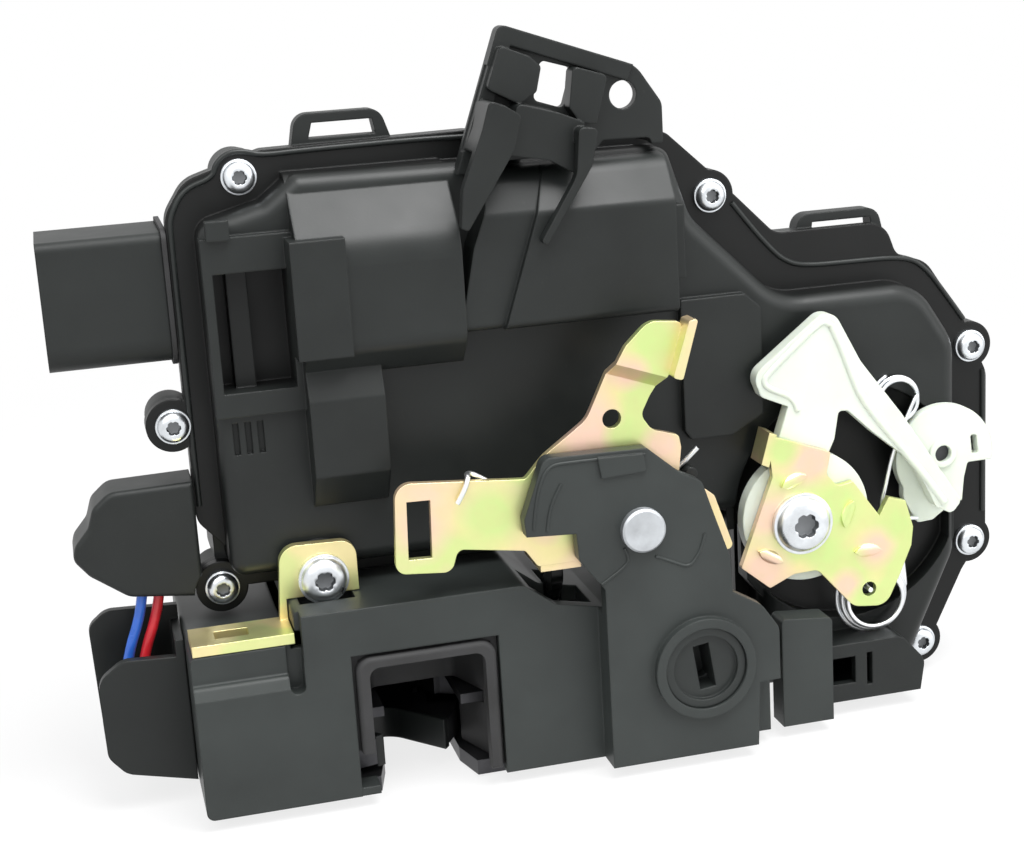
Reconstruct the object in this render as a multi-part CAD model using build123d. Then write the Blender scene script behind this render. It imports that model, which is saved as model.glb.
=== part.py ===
from build123d import *
from math import atan2, cos, degrees, hypot, pi, radians, sin, tan
import os

# Door latch actuator. Millimetres.
# X runs along the shut face, Y into the door skin, Z away from the shut face.
# The origin is where the centre of a parked striker meets the shut face.

# ---- Levels along Y, from the side that the striker enters (-Y) ----
PARTING_Y = -6.0           # joint between rear housing and front cover
FLANGE_T = 2.0             # flange of the front cover
REAR_FLANGE_T = 2.5        # flange of the rear housing
FACE_Y = -16.0             # main face of the front cover
REAR_Y = 13.0              # back of the rear housing
COVER_WALL = 2.0
REAR_WALL = 2.2
FLANGE_Y = PARTING_Y - FLANGE_T
FACE_ROUND = 3.0           # rounding of the front cover's rim

# ---- Actuator housing outline in X and Z ----
LEFT_X = -38.0
RIGHT_X = 126.0
TOP_Z = 122.0
LATCH_TOP_Z = 39.0         # top of the latch cover, which the housing stands on
SEAT_GAP = 0.2             # clearance between stacked mouldings
HOUSING_BOTTOM_Z = LATCH_TOP_Z + SEAT_GAP
TAIL_X = 69.5              # left side of the lower right part of the housing
TAIL_Z = 2.0

# ---- Cover screws ----
SCREW_HEAD_R = 3.3
SCREW_HEAD_H = 2.4
SCREW_SHANK_R = 1.3
SCREW_LENGTH = 9.0
EAR_R = 5.0
SCREW_PLACES = [(-24.0, 117.0), (66.5, 105.5), (122.0, 69.5), (122.0, 27.5), (110.5, 6.5), (-34.5, 39.5),
                (-40.5, 72.0)]

# ---- Striker mouth and latch unit ----
PLATE_T = 3.0
PLATE_LEFT_X = -40.3
PLATE_RIGHT_X = 50.0
PLATE_FRONT_Y = -24.6
PLATE_BACK_Y = 16.8
PLATE_CORNER_R = 4.0
STRIKER_R = 4.5
MOUTH_CLEAR = 1.5          # each side of the striker in the steel parts
RIM_Z = 2.0                # lower rim of the latch cover
LATCH_LEFT_X = -43.0
LATCH_FRONT_Y = -30.0
LATCH_BACK_Y = 19.5
LATCH_WALL = 2.5
LATCH_STEP_X = -23.5       # right side of the lower step on the left of the latch cover
LATCH_STEP_Z = 33.0
SHOULDER_RIGHT_X = -25.4   # right end of the shoulder, where the deep slot starts
LATCH_RIGHT_X = 52.5       # right side of the room for the claw and the pawl
MOUTH_HALF_W = 14.0
MOUTH_BACK_HALF_W = 9.5
MOUTH_TOP_Z = 30.0
MOUTH_BACK_Y = -11.0
MOUTH_WALL = 2.0
LINER_T = 1.4
LINER_LIP = 0.6            # how far the lip stands in front of the cover
LINER_GROOVE = 0.7         # open groove between lip and cover
LINER_LOW_Z = 3.3
LINER_LEFT_LOW_Z = 10.5
LINER_END_Y = -14.0
PLATE_NOSE_Y = -22.0       # front of the back plate

# ---- Claw and pawl, turning about Z ----
CLAW_ARM = 16.5            # claw pivot to the middle of a parked striker
CLAW_SHUT_DEG = 12.0       # direction of the claw's slot when shut
CLAW_SWEEP_DEG = 62.0
CLAW_R = 20.0
CLAW_FINGER_R = 26.0       # finger behind the striker
CLAW_FINGER_END_DEG = 36.0 # from the claw's slot
CLAW_HUB_R = 12.0
CLAW_SLOT_W = 11.0
CLAW_SLOT_ROOT_R = 8.9     # claw pivot to the bottom of the slot
CLAW_T = 5.0
SLEEVE_WALL = 1.6
SLEEVE_OVER = 0.6          # how far the sleeve stands over the steel on each side
CLAW_PIN_R = 4.5
PIN_FIT = 0.06             # radial running fit of a pivot
CLAW_Z = 4.6
CAM_CLEAR = 0.3            # pawl tip to the claw's rim
PAWL_X = 21.0
PAWL_Y = 6.0
PAWL_HUB_R = 6.0
PAWL_T = 5.0
PAWL_PIN_R = 3.5
PAWL_TIP_DEG = 30.0        # where on the finger's rim the pawl meets it, seen from the claw pivot
BACK_PLATE_Z = 14.0
BACK_PLATE_T = 2.0
FIXING_HOLE_R = 3.4        # M8 thread core
FIXING_COLLAR_R = 6.0
FIXING_COLLAR_H = 4.0
FIXING_LEFT = (-34.2, 10.5)
FIXING_RIGHT = (43.5, 9.5)

CLAW_NOTCH_DEG = 53.0
CLAW_NOTCH_DEPTH = 2.6
CLAW_PIVOT = (-CLAW_ARM * cos(radians(CLAW_SHUT_DEG)), -CLAW_ARM * sin(radians(CLAW_SHUT_DEG)))
CLAW_REST_DEG = CLAW_SHUT_DEG - CLAW_SWEEP_DEG

# Front cover forms: each bulge is one profile, used again with a wall taken off
MOTOR_Y = -11.0
MOTOR_Z = 98.5
MOTOR_LEFT_X = -14.0
MOTOR_LENGTH = 25.0
BULGE_LEFT_X = -16.5
BULGE_RIGHT_X = 13.2
BULGE_Y = -24.5
GEAR_RIGHT_X = 54.0
GEAR_Y = -25.0
GEAR_LOW_Y = -23.5         # low part of the gear housing, beside the motor
TOP_FORM_Z = 117.2
PAD_Y = -18.0
PAD_LEFT_X = 56.5
PAD_RIGHT_X = 72.8
STORE_LEFT_X = -16.5       # small raised box under the motor
STORE_RIGHT_X = -2.5
STORE_Y = -22.5
SHELF_Y = -24.0            # raised corner at the lower right
SHELF_TOP_Z = 14.8
LOCK_X = 77.6              # pivot of the lock lever
LOCK_Z = 41.8
WELL_X = 91.5              # round well that the lock levers turn in
WELL_Z = 42.0
WELL_R = 24.5
WELL_RIGHT_X = 113.6
WELL_FLOOR_Y = -12.0
INNER_X = 110.8            # pivot of the inner lever
INNER_Z = 50.3
STUD_R = 1.7
RELEASE_X = 41.2           # pivot of the release lever
RELEASE_Z = 48.9
RELEASE_BOSS_R = 5.5
RELEASE_BOSS_Y = -27.0
RELEASE_PIN_R = 3.0
SPRING_PEG = (53.7, 56.1)
SPRING_PEG_R = 1.2
SPRING_PEG_Y = -28.8
BRACKET_SCREW_X = -16.5
BRACKET_SCREW_Z = 42.4
BRACKET_BOSS_R = 6.5
BRACKET_BOSS_Y = -17.5
WINDOW_LEFT_X = -31.2
WINDOW_RIGHT_X = -17.8
WINDOW_LOW_Z = 79.0
WINDOW_HIGH_Z = 101.0
WINDOW_FLOOR_Y = -9.5
FRAME_Y = -18.0
FRAME_LOW_Z = 74.5
FRAME_HIGH_Z = 107.5
POCKET_WALL = 1.6
TABS = [(-12.5, 3.3, 122.6, 127.2), (86.0, 103.0, 91.6, 99.6)]
RIB_COUNT = 5
RIB_FIRST_X = -20.0
RIB_STEP = 27.0

# Plug connector
PLUG_LEFT_X = -61.5
PLUG_RIGHT_X = LEFT_X - 1.0
PLUG_FRONT_Y = -7.6
PLUG_BACK_Y = 12.6
PLUG_LOW_Z = 83.5
PLUG_HIGH_Z = 108.0
PLUG_WALL = 1.7
PLUG_FLOOR = 3.0
PIN_ROWS = 2
PIN_COLUMNS = 5
PIN_PITCH = 3.2
PIN_W = 0.8
NECK_RIGHT_X = -33.2
LOCK_HUB_R = 4.2
BRACKET_SHANK_R = 2.5

# Latch cover: a box over the claw and pawl, with the mouth and the arm for the release pin
ARM_FRONT_Y = -35.8
ARM_BACK_Y = -32.8
KEY_X = 52.4               # key coupling
KEY_Z = 19.9
KEY_R = 8.0
KEY_RING_R = 10.0
KEY_RING_Y = -37.4
KEY_FIT = 0.1
KEY_SLOT_W = 3.2
KEY_SLOT_H = 9.0
SIDE_BLOCK_LEFT_X = 70.6
SIDE_BLOCK_RIGHT_X = 81.2
SIDE_BLOCK_BACK_Y = -24.6
SIDE_BLOCK_TOP_Z = 24.5
TONGUE_LEFT_X = 20.0       # gap in the top of the cover for the tongue of the release lever
TONGUE_RIGHT_X = 33.0
TONGUE_BACK_Y = -17.0
ROOM_TOP_Z = 35.3
ROOM_RIGHT_TOP_Z = 30.0
KEY_BACK_Y = -12.0
KEY_LEFT_X = 33.6
KEY_SEAT_Y = -31.0
KEY_STEM_R = 4.0
PLATE_PADS = [(-40.5, -36.5, -24.6, -20.0), (-27.5, -24.0, 15.5, 17.0), (24.0, 34.0, -27.5, -22.0),
              (47.0, 52.5, -24.0, -20.0), (28.0, 34.0, 14.5, 17.0)]
SLOT_HALF_W = STRIKER_R + MOUTH_CLEAR + 1.5
SLOT_END_Y = STRIKER_R + MOUTH_CLEAR
SLOT_FLARE_W = 9.6
SLOT_FLARE_Y = -17.0
PAWL_TAIL_X = 34.5
PAWL_TAB_Z = 27.0

# Release lever: a bent sheet with a slot for the handle rod and a hook for the inner cable
SHEET_T = 1.5
LEVER_FRONT_Y = -32.4
LEVER_STEP = 2.5           # how far the upper arm stands in front of the rest
LEVER_STEP_START = 26.0    # along the arm, from the pivot
LEVER_STEP_RUN = 2.4
LEVER_ARM_DEG = 70.0
LEVER_HOLE_R = 1.8
LEVER_SLOT_W = 4.4
LEVER_SLOT_H = 11.0
PIN_HEAD_R = 4.2
PIN_HEAD_H = 1.8
WIRE_R = 0.55
TONGUE_DEPTH = 11.0
RELEASE_COIL_R = 7.4
RELEASE_COIL_TURNS = 1.6
RELEASE_COIL_PITCH = 1.6
RELEASE_COIL_BACK_Y = -25.6

# Lock levers
ARROW_FRONT_Y = -22.5
ARROW_T = 3.0
ARROW_BASE_R = 13.2
ARROW_BASE = (79.3, 42.5)
LOUVRE_HALF_L = 2.8
LOUVRE_HALF_W = 1.3
LOUVRE_RISE = 0.9
LOCK_PLATE_Y = -24.3
LOCK_SCREW_HEAD_R = 6.2
LOCK_SCREW_HEAD_H = 2.8
LOCK_SCREW_R = 2.0
INNER_FRONT_Y = -18.4
INNER_T = 2.1
INNER_DISC_R = 10.6
CRANK_T = 2.5
CRANK_BACK_Y = -1.0
CRANK_R = 30.0             # lock pivot to the crank's peg
CRANK_PEG_R = 2.0
CRANK_HUB_R = 5.2
CRANK_FRONT_Y = CRANK_BACK_Y - CRANK_T
SPINDLE_SQUARE = 2.9       # half the side of the square that drives the crank
SPINDLE_END_Y = CRANK_BACK_Y + 0.2
LOCK_COIL_X = 94.5
LOCK_COIL_Z = 22.9
LOCK_COIL_R = 7.4
INNER_COIL_X = 101.3
INNER_COIL_Z = 62.3
INNER_COIL_R = 4.6

# Claw and pawl springs, stop
BUMPER_R = 2.6
BUMPER_REACH = 15.2        # claw pivot to the middle of the stop

# Pawl lifter: the tongue presses its arm down, its finger draws the pawl's tab back
LIFTER_Y = -4.0
LIFTER_Z = 20.4
LIFTER_HUB_R = 4.0
LIFTER_PIN_R = 1.8
LIFTER_LEFT_X = 27.0
LIFTER_RIGHT_X = 29.4
LIFTER_TOP_Z = 41.6

# Motor, worm, wheel and rack
MOTOR_R = 11.0
MOTOR_FLAT = 8.5           # motor axis to the flats
MOTOR_CAP_L = 2.6
MOTOR_SHAFT_R = 1.0
MOTOR_SHAFT_END_X = 36.0
MOTOR_RIBS_X = (-10.0, 6.0)
RIB_T = 2.0
GUIDE_RIBS_X = (13.0, 60.0)
CAN_LEFT_X = -11.6
CAN_RIGHT_X = 10.9
WORM_LEFT_X = 22.6
WORM_RIGHT_X = 33.4
WORM_MODULE = 1.25
WORM_ROOT_R = 2.2
WORM_PITCH_R = 3.5
WHEEL_TEETH = 18
PINION_MODULE = 1.0
PINION_TEETH = 15
WHEEL_X = 28.0
WHEEL_PITCH_R = WORM_MODULE * WHEEL_TEETH / 2
WHEEL_Z = MOTOR_Z - WORM_PITCH_R - WHEEL_PITCH_R
WHEEL_FRONT_Y = MOTOR_Y - 1.7
WHEEL_BACK_Y = MOTOR_Y + 1.7
PINION_BACK_Y = -4.6
AXLE_R = 1.5
AXLE_BOSS_R = 3.5
PINION_PITCH_R = PINION_MODULE * PINION_TEETH / 2
RACK_PITCH_Z = WHEEL_Z - PINION_PITCH_R
SLIDE_FRONT_Y = -8.8
SLIDE_BACK_Y = -4.8
SLIDE_LOW_Z = 69.6
SLIDE_LEFT_X = 12.0
SLIDE_TRAVEL = 9.42
SWITCH_PLACE = (96.0, 108.0, -3.6, 2.6, 60.0, 66.0)
STRIP_Y = 10.2
STRIP_BACK_Y = 10.8

# Gold bracket at the left, with its screw
GOLD_T = 2.0
GOLD_LOW_Z = 33.2
GOLD_SLOT = (-37.9, -31.6)

# Cable bracket on top, tilted; its hooks hold the end of the inside handle's cable
CABLE_BACK_Y = FACE_Y - 0.1
CABLE_FRONT_Y = CABLE_BACK_Y - 2.2
CABLE_RIM = 1.2
CABLE_HOLE = (46.7, 127.0)
CABLE_HOLE_R = 2.6
JAW_REACH = 3.6
SADDLE_FRONT_Y = -24.4
SADDLE_BACK_Y = -21.6
LEG_FRONT_Y = -27.6
LEG_BACK_Y = -25.4

# Wires with their cover and guide at the left
WIRE_D = 2.0
OUTLET_FRONT_Y = -12.0
OUTLET_BACK_Y = -2.0
GUIDE_RIGHT_X = LATCH_LEFT_X - SEAT_GAP
GUIDE_FRONT_Y = -15.0
GUIDE_BACK_Y = -1.0
FLAP_T = 1.8
WIRE_START_X = -40.65
WIRE_END_X = GUIDE_RIGHT_X - 1.65


# ---- Helpers ----
def front_plane(y):
    """Local x is X and local y is Z, seen from -Y; an extrusion comes forward."""
    return Plane(origin=(0, y, 0), x_dir=(1, 0, 0), z_dir=(0, -1, 0))


def side_plane(x):
    """Local x is Y and local y is Z; an extrusion goes to +X."""
    return Plane(origin=(x, 0, 0), x_dir=(0, 1, 0), z_dir=(1, 0, 0))


def outline(corners):
    """Closed face from corners (across, up, radius)."""
    path = [(c[0], c[1]) for c in corners]
    radii = [c[2] if len(c) > 2 else 0 for c in corners]
    if any(radii):
        return make_face(FilletPolyline(*path, radius=radii, close=True))
    return make_face(Polyline(*path, close=True))


def front_slab(corners, front, back):
    """Outline in X and Z, between two levels of Y."""
    return extrude(front_plane(back) * outline(corners), amount=back - front)


def side_slab(corners, left, right):
    """Outline in Y and Z, between two levels of X."""
    return extrude(side_plane(left) * outline(corners), amount=right - left)


def flat_slab(corners, low, high):
    """Outline in X and Y, between two levels of Z."""
    return extrude(Plane.XY.offset(low) * outline(corners), amount=high - low)


def block(x0, x1, y0, y1, z0, z1):
    return Pos((x0 + x1) / 2, (y0 + y1) / 2, (z0 + z1) / 2) * Box(x1 - x0, y1 - y0, z1 - z0)


def pin_y(x, z, r, front, back):
    """Round bar along Y."""
    return extrude(front_plane(back) * Pos(x, z) * Circle(r), amount=back - front)


def pin_z(x, y, r, low, high):
    """Round bar along Z."""
    return extrude(Plane.XY.offset(low) * Pos(x, y) * Circle(r), amount=high - low)


def pin_x(y, z, r, left, right):
    """Round bar along X."""
    return extrude(side_plane(left) * Pos(y, z) * Circle(r), amount=right - left)


def polar(centre, r, deg):
    return (centre[0] + r * cos(radians(deg)), centre[1] + r * sin(radians(deg)))


def write(name, *solids):
    """One STEP for one sub-part; more than one solid stays as separate solids."""
    found = [s for shape in solids for s in shape.solids()]
    shape = found[0] if len(found) == 1 else Compound(children=found)
    shape.label = name
    export_step(shape, f"parts/{name}.step")


# ---- Housing ----
def housing_outline(grow=0.0):
    """Flange outline; the lower edge steps round the latch cover."""
    base = outline([
        (LEFT_X, 53.0, 4), (LEFT_X, 111.0, 6), (-34.0, 117.0, 6), (-19.5, 121.5, 3), (19, TOP_Z, 2),
        (58.0, 118.5, 3), (66.5, 110.5, 4), (80.0, 96.8, 4), (103.5, 96.8, 5), (106.0, 90.0, 3),
        (112.5, 88.0, 6), (120.5, 76.0, 6), (RIGHT_X, 63.5, 5), (RIGHT_X, 29.0, 4), (120.5, 21.0, 4),
        (114.5, 9.0, 4), (110.0, TAIL_Z, 4), (TAIL_X, TAIL_Z, 2), (TAIL_X, HOUSING_BOTTOM_Z, 2),
        (-31.0, HOUSING_BOTTOM_Z, 2), (-31.0, 45.0, 3)])
    shape = base
    for x, z in SCREW_PLACES:
        shape += Pos(x, z) * Circle(EAR_R)
    keep = Pos((LATCH_LEFT_X + TAIL_X) / 2, (HOUSING_BOTTOM_Z - EAR_R) / 2) * Rectangle(
        TAIL_X - LATCH_LEFT_X, HOUSING_BOTTOM_Z + EAR_R)
    shape = shape - (keep - Pos(*SCREW_PLACES[5]) * Circle(EAR_R))
    return offset(shape, amount=grow) if grow else shape


def body_corners(inset=0.0):
    """Raised part of the cover, inside the flange, moved in by a wall."""
    i = inset
    return [
        (-33.0 + i, 43.0 + i, 3), (-33.0 + i, 109.5 - i, 4), (-21.0 + 0.3 * i, 112.6 - i, 2),
        (-15.0 + 0.4 * i, 117.2 - i, 3),
        (56.0 - i, 116.4 - i, 3), (60.5 - i, 102.5 - i, 8), (78.0 - 0.4 * i, 85.0 - i, 12),
        (107.5 - 0.5 * i, 85.0 - i, 10), (115.4 - i, 72.5 - 0.5 * i, 10), (115.4 - i, 28.0 + 0.4 * i, 8),
        (104.5 - 0.6 * i, 4.5 + i, 6), (TAIL_X + 2.6 + i, 4.5 + i, 2),
        (TAIL_X + 2.6 + i, 43.0 + i, 2)]


# ---- Front cover forms: each bulge is one profile, used again with a wall taken off ----


def motor_bulge(i=0.0):
    return side_slab([
        (PARTING_Y, 80.5 + i), (-19.0 + i, 80.5 + i, 2), (BULGE_Y + i, 86.0 + i, 4), (BULGE_Y + i, 104.5, 9),
        (-13.0 + i, TOP_FORM_Z - i, 4), (PARTING_Y, TOP_FORM_Z - i)], BULGE_LEFT_X + i, BULGE_RIGHT_X - i)


def gear_profile(front, i, left, right):
    return side_slab([
        (PARTING_Y, 86.6 + i), (front + i, 86.6 + i, 1.5), (front + i, 107.6, 2), (-19.5 + i, 115.5 - i, 5),
        (PARTING_Y, 116.4 - i)], left, right)


def gear_bulge(i=0.0):
    """High part over the wheel; a slanting step leads to the low part beside the motor."""
    high = front_slab([(18.1 + i, 80.0), (28.2 + i, 109.5), (33.5 + i, 125.0), (GEAR_RIGHT_X - i, 125.0),
                       (GEAR_RIGHT_X - i, 80.0)], GEAR_Y - 1, PARTING_Y)
    low = front_slab([(10.7 + i, 80.0), (15.6 + i, 101.9), (18.4 + i, 109.2), (18.4 + i, 125.0),
                      (34.0, 125.0),
                      (34.0, 80.0)], GEAR_Y - 1, PARTING_Y)
    return ((gear_profile(GEAR_Y, i, 8.0, GEAR_RIGHT_X) & high) + (gear_profile(GEAR_LOW_Y, i, 8.0,
        34.0) & low))


def store_bulge(i=0.0):
    return side_slab([
        (PARTING_Y, 86.5 - i), (-18.5 + i, 86.5 - i, 1), (STORE_Y + i, 76.6 - i, 1), (STORE_Y + i, 62.5 + i,
            1),
        (-17.0 + i, 55.5 + i, 1), (PARTING_Y, 55.5 + i)], STORE_LEFT_X + i, STORE_RIGHT_X - i)


def shelf_bulge(i=0.0):
    return front_slab([
        (81.8 + i, 2.6 + i), (81.8 + i, SHELF_TOP_Z - i, 1.5), (99.0 - i, SHELF_TOP_Z - i, 3),
        (104.0 - i, 9.0, 3),
        (103.0 - i, 2.6 + i)], SHELF_Y + i, FLANGE_Y)


def cover_form(i=0.0):
    """Outer form of the cover, or its inside when i is the wall."""
    body = front_slab(body_corners(i), FACE_Y + i, PARTING_Y)
    if i == 0:
        front = body.faces().sort_by(Axis.Y)[0]
        body = fillet(front.edges(), FACE_ROUND)
    return body + motor_bulge(i) + gear_bulge(i) + store_bulge(i) + shelf_bulge(i)


def front_cover():
    flange = extrude(front_plane(PARTING_Y) * housing_outline(), amount=FLANGE_T)
    cover = flange + cover_form() - cover_form(COVER_WALL)
    cover -= block(-200, 200, PARTING_Y, 0, -50, 200)
    # frame with a deep window on the left
    cover += block(-33.0, BULGE_LEFT_X + 1, FRAME_Y, FACE_Y + 1, FRAME_LOW_Z, FRAME_HIGH_Z)
    cover += block(-31.8, -27.6, FRAME_Y - 1.2, FRAME_Y + 1, FRAME_HIGH_Z - 0.4, FRAME_HIGH_Z + 3.2)
    cover += block(-18.0, -8.0, BULGE_Y - 0.8, BULGE_Y + 2.0, 85.0, 106.5)
    cover += block(-18.0, BULGE_LEFT_X + 1, BULGE_Y + 1.9, FACE_Y, 85.0, 106.5)
    cover += block(WINDOW_LEFT_X - POCKET_WALL, WINDOW_RIGHT_X + POCKET_WALL, FACE_Y + 1,
                   WINDOW_FLOOR_Y + POCKET_WALL, WINDOW_LOW_Z - POCKET_WALL, WINDOW_HIGH_Z + POCKET_WALL)
    cover -= block(WINDOW_LEFT_X, WINDOW_RIGHT_X, FRAME_Y - 1, WINDOW_FLOOR_Y, WINDOW_LOW_Z, WINDOW_HIGH_Z)
    cover += block(-28.6, -24.8, -13.5, WINDOW_FLOOR_Y + 0.5, WINDOW_LOW_Z - 0.5, WINDOW_HIGH_Z + 0.5)
    for step in range(3):
        x = -30.2 + 2.3 * step
        cover -= block(x, x + 1.1, FACE_Y - 1, FACE_Y + 0.9, 67.0, 73.0)
    cover += block(GEAR_RIGHT_X + 0.8, GEAR_RIGHT_X + 3.2, PAD_Y - 2.0, FACE_Y + 1, 92.0, 106.0)
    # eight-sided pad beside the lock levers
    cover += front_slab([(PAD_LEFT_X, 87.3), (69.6, 87.3), (PAD_RIGHT_X, 84.4), (PAD_RIGHT_X, 63.2),
                         (66.5, 59.6), (57.8, 59.6), (PAD_LEFT_X, 61.5)], PAD_Y, FACE_Y + 1)
    # well of the lock levers
    well = pin_y(WELL_X, WELL_Z, WELL_R, FACE_Y - 1, WELL_FLOOR_Y)
    well &= block(0, WELL_RIGHT_X, -50, 0, 0, 200)
    floor = pin_y(WELL_X, WELL_Z, WELL_R + 1.5, FACE_Y + 1, WELL_FLOOR_Y + COVER_WALL)
    floor &= block(0, WELL_RIGHT_X + 1.5, -50, 0, 0, 200)
    cover = cover + floor - well
    # pivots and screw bosses
    cover += pin_y(LOCK_X, LOCK_Z, 6.5, WELL_FLOOR_Y - 1.5, PARTING_Y)
    cover -= pin_y(LOCK_X, LOCK_Z, LOCK_HUB_R + PIN_FIT, WELL_FLOOR_Y - 3, PARTING_Y + 1)
    cover += pin_y(INNER_X, INNER_Z, 2.6, WELL_FLOOR_Y, PARTING_Y - 1)
    cover -= pin_y(INNER_X, INNER_Z, STUD_R, WELL_FLOOR_Y - 1, PARTING_Y - 1.5)
    cover += pin_y(RELEASE_X, RELEASE_Z, RELEASE_BOSS_R, RELEASE_BOSS_Y, PARTING_Y - 1)
    cover -= pin_y(RELEASE_X, RELEASE_Z, RELEASE_PIN_R, RELEASE_BOSS_Y - 1, PARTING_Y - 3)
    cover += pin_y(BRACKET_SCREW_X, BRACKET_SCREW_Z, BRACKET_BOSS_R, BRACKET_BOSS_Y, PARTING_Y)
    cover -= block(-200, TAIL_X, -50, 0, 0, HOUSING_BOTTOM_Z)
    cover += pin_y(*SCREW_PLACES[5], EAR_R, FLANGE_Y, PARTING_Y)
    cover -= pin_y(BRACKET_SCREW_X, BRACKET_SCREW_Z, BRACKET_SHANK_R, BRACKET_BOSS_Y - 1, PARTING_Y + 1)
    # peg that the release spring bears on
    cover += pin_y(*SPRING_PEG, SPRING_PEG_R, SPRING_PEG_Y, FACE_Y + 1)
    # cradle of the motor, end bearing of its shaft, boss of the wheel's axle
    for x in MOTOR_RIBS_X:
        cover += block(x, x + RIB_T, BULGE_Y + 1, MOTOR_Y - MOTOR_FLAT, 92.0, 104.4)
    cover += block(MOTOR_SHAFT_END_X - 2, MOTOR_SHAFT_END_X, GEAR_Y + 1, -7.5, 96.6, 103.0)
    cover -= pin_x(MOTOR_Y, MOTOR_Z, MOTOR_SHAFT_R + PIN_FIT, 30, 40)
    cover += pin_y(WHEEL_X, WHEEL_Z, AXLE_BOSS_R, FACE_Y + 1, WHEEL_FRONT_Y - 0.2)
    cover -= pin_y(WHEEL_X, WHEEL_Z, AXLE_R, FACE_Y + COVER_WALL + 0.2, PARTING_Y)
    # latch window and slot at the lower right
    cover -= block(83.3, 88.7, SHELF_Y - 1, SHELF_Y + COVER_WALL + 1, 6.3, 12.0)
    cover -= block(91.2, 92.4, SHELF_Y - 1, SHELF_Y + COVER_WALL + 1, 5.5, 12.4)
    for x, z in SCREW_PLACES:
        cover -= pin_y(x, z, SCREW_SHANK_R + 0.2, FLANGE_Y - 1, PARTING_Y + 1)
    return cover


def rear_housing():
    flange = extrude(front_plane(PARTING_Y + REAR_FLANGE_T) * housing_outline(), amount=REAR_FLANGE_T)
    for low_x, high_x, low_z, high_z in TABS:
        flange += front_slab([
            (low_x - 2.0, low_z - 6), (low_x, high_z, 3), (high_x, high_z, 3), (high_x + 3.5, low_z - 6)],
            PARTING_Y + 0.3, PARTING_Y + REAR_FLANGE_T + 1.5)
    shell = front_slab(body_corners(-REAR_WALL), PARTING_Y + 0.5, REAR_Y)
    back = shell.faces().sort_by(Axis.Y)[-1]
    shell = chamfer(back.edges(), 1.6)
    room = front_slab(body_corners(0.0), PARTING_Y - 1, REAR_Y - REAR_WALL)
    housing = flange + shell - room
    for low_x, high_x, low_z, high_z in TABS:
        housing -= front_slab([
            (low_x + 2.2, low_z), (low_x + 3.0, high_z - 1.8), (high_x - 1.5, high_z - 1.8),
            (high_x - 1.0, low_z)],
            PARTING_Y - 1, PARTING_Y + 20)
    # stiffening ribs across the back
    for step in range(RIB_COUNT):
        x = RIB_FIRST_X + RIB_STEP * step
        housing += block(x, x + 1.6, REAR_Y - 3.5, REAR_Y + 1.4, 50.0, 84.0 if x > 60 else 108.0)
    # supports of the motor, the wheel's axle, the slide and the lock switch
    for x in MOTOR_RIBS_X:
        housing += block(x, x + RIB_T, MOTOR_Y + MOTOR_FLAT, REAR_Y - 1, 92.0, 104.4)
    housing += pin_y(WHEEL_X, WHEEL_Z, AXLE_BOSS_R, PINION_BACK_Y + 0.2, REAR_Y - 1)
    housing -= pin_y(WHEEL_X, WHEEL_Z, AXLE_R, PARTING_Y, 4.2)
    for x in GUIDE_RIBS_X:
        housing += block(x, x + RIB_T, SLIDE_BACK_Y + 0.1, REAR_Y - 1, 66.0, 74.5)
        housing += block(x, x + RIB_T, SLIDE_FRONT_Y, SLIDE_BACK_Y + 1, 66.0, SLIDE_LOW_Z - 0.1)
    left, right, _, back, low, high = SWITCH_PLACE
    housing += block(left + 1, right - 1, back, REAR_Y - 1, low + 1, high - 1)
    # opening for the plug, beds of the lead frame's strips
    housing -= block(-40, NECK_RIGHT_X + 1, PARTING_Y + REAR_FLANGE_T + 0.2, PLUG_BACK_Y - 2.4, 86.9, 105.1)
    for z in strip_rows():
        housing -= block(-32.9, 76.0, STRIP_Y - 0.1, STRIP_BACK_Y, z - 1.0, z + 1.0)
    for x, z in SCREW_PLACES:
        housing += pin_y(x, z, EAR_R - 0.4, PARTING_Y, PARTING_Y + SCREW_LENGTH)
        housing -= pin_y(x, z, SCREW_SHANK_R, PARTING_Y - 1, PARTING_Y + SCREW_LENGTH - 1)
    return housing


def cover_screws():
    """Self-tapping screws with a chamfered head and a six-sided drive."""
    found = []
    for x, z in SCREW_PLACES:
        head = pin_y(x, z, SCREW_HEAD_R, FLANGE_Y - SCREW_HEAD_H, FLANGE_Y)
        head = chamfer(head.faces().sort_by(Axis.Y)[0].edges(), 0.7)
        head -= extrude(front_plane(FLANGE_Y - SCREW_HEAD_H + 1.3) * Pos(x, z) * RegularPolygon(1.5, 6),
                        amount=3)
        found.append(head + pin_y(x, z, SCREW_SHANK_R, FLANGE_Y, FLANGE_Y + SCREW_LENGTH - 2))
    return found


# ---- Plug connector ----


def plug_corners(i=0.0):
    return [(PLUG_FRONT_Y + i, PLUG_LOW_Z + i, 5 - i), (PLUG_BACK_Y - i, PLUG_LOW_Z + i, 5 - i),
            (PLUG_BACK_Y - i, PLUG_HIGH_Z - i, 1.7 - 0.7 * i), (PLUG_FRONT_Y + i, PLUG_HIGH_Z - i,
                                                                1.7 - 0.7 * i)]


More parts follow.
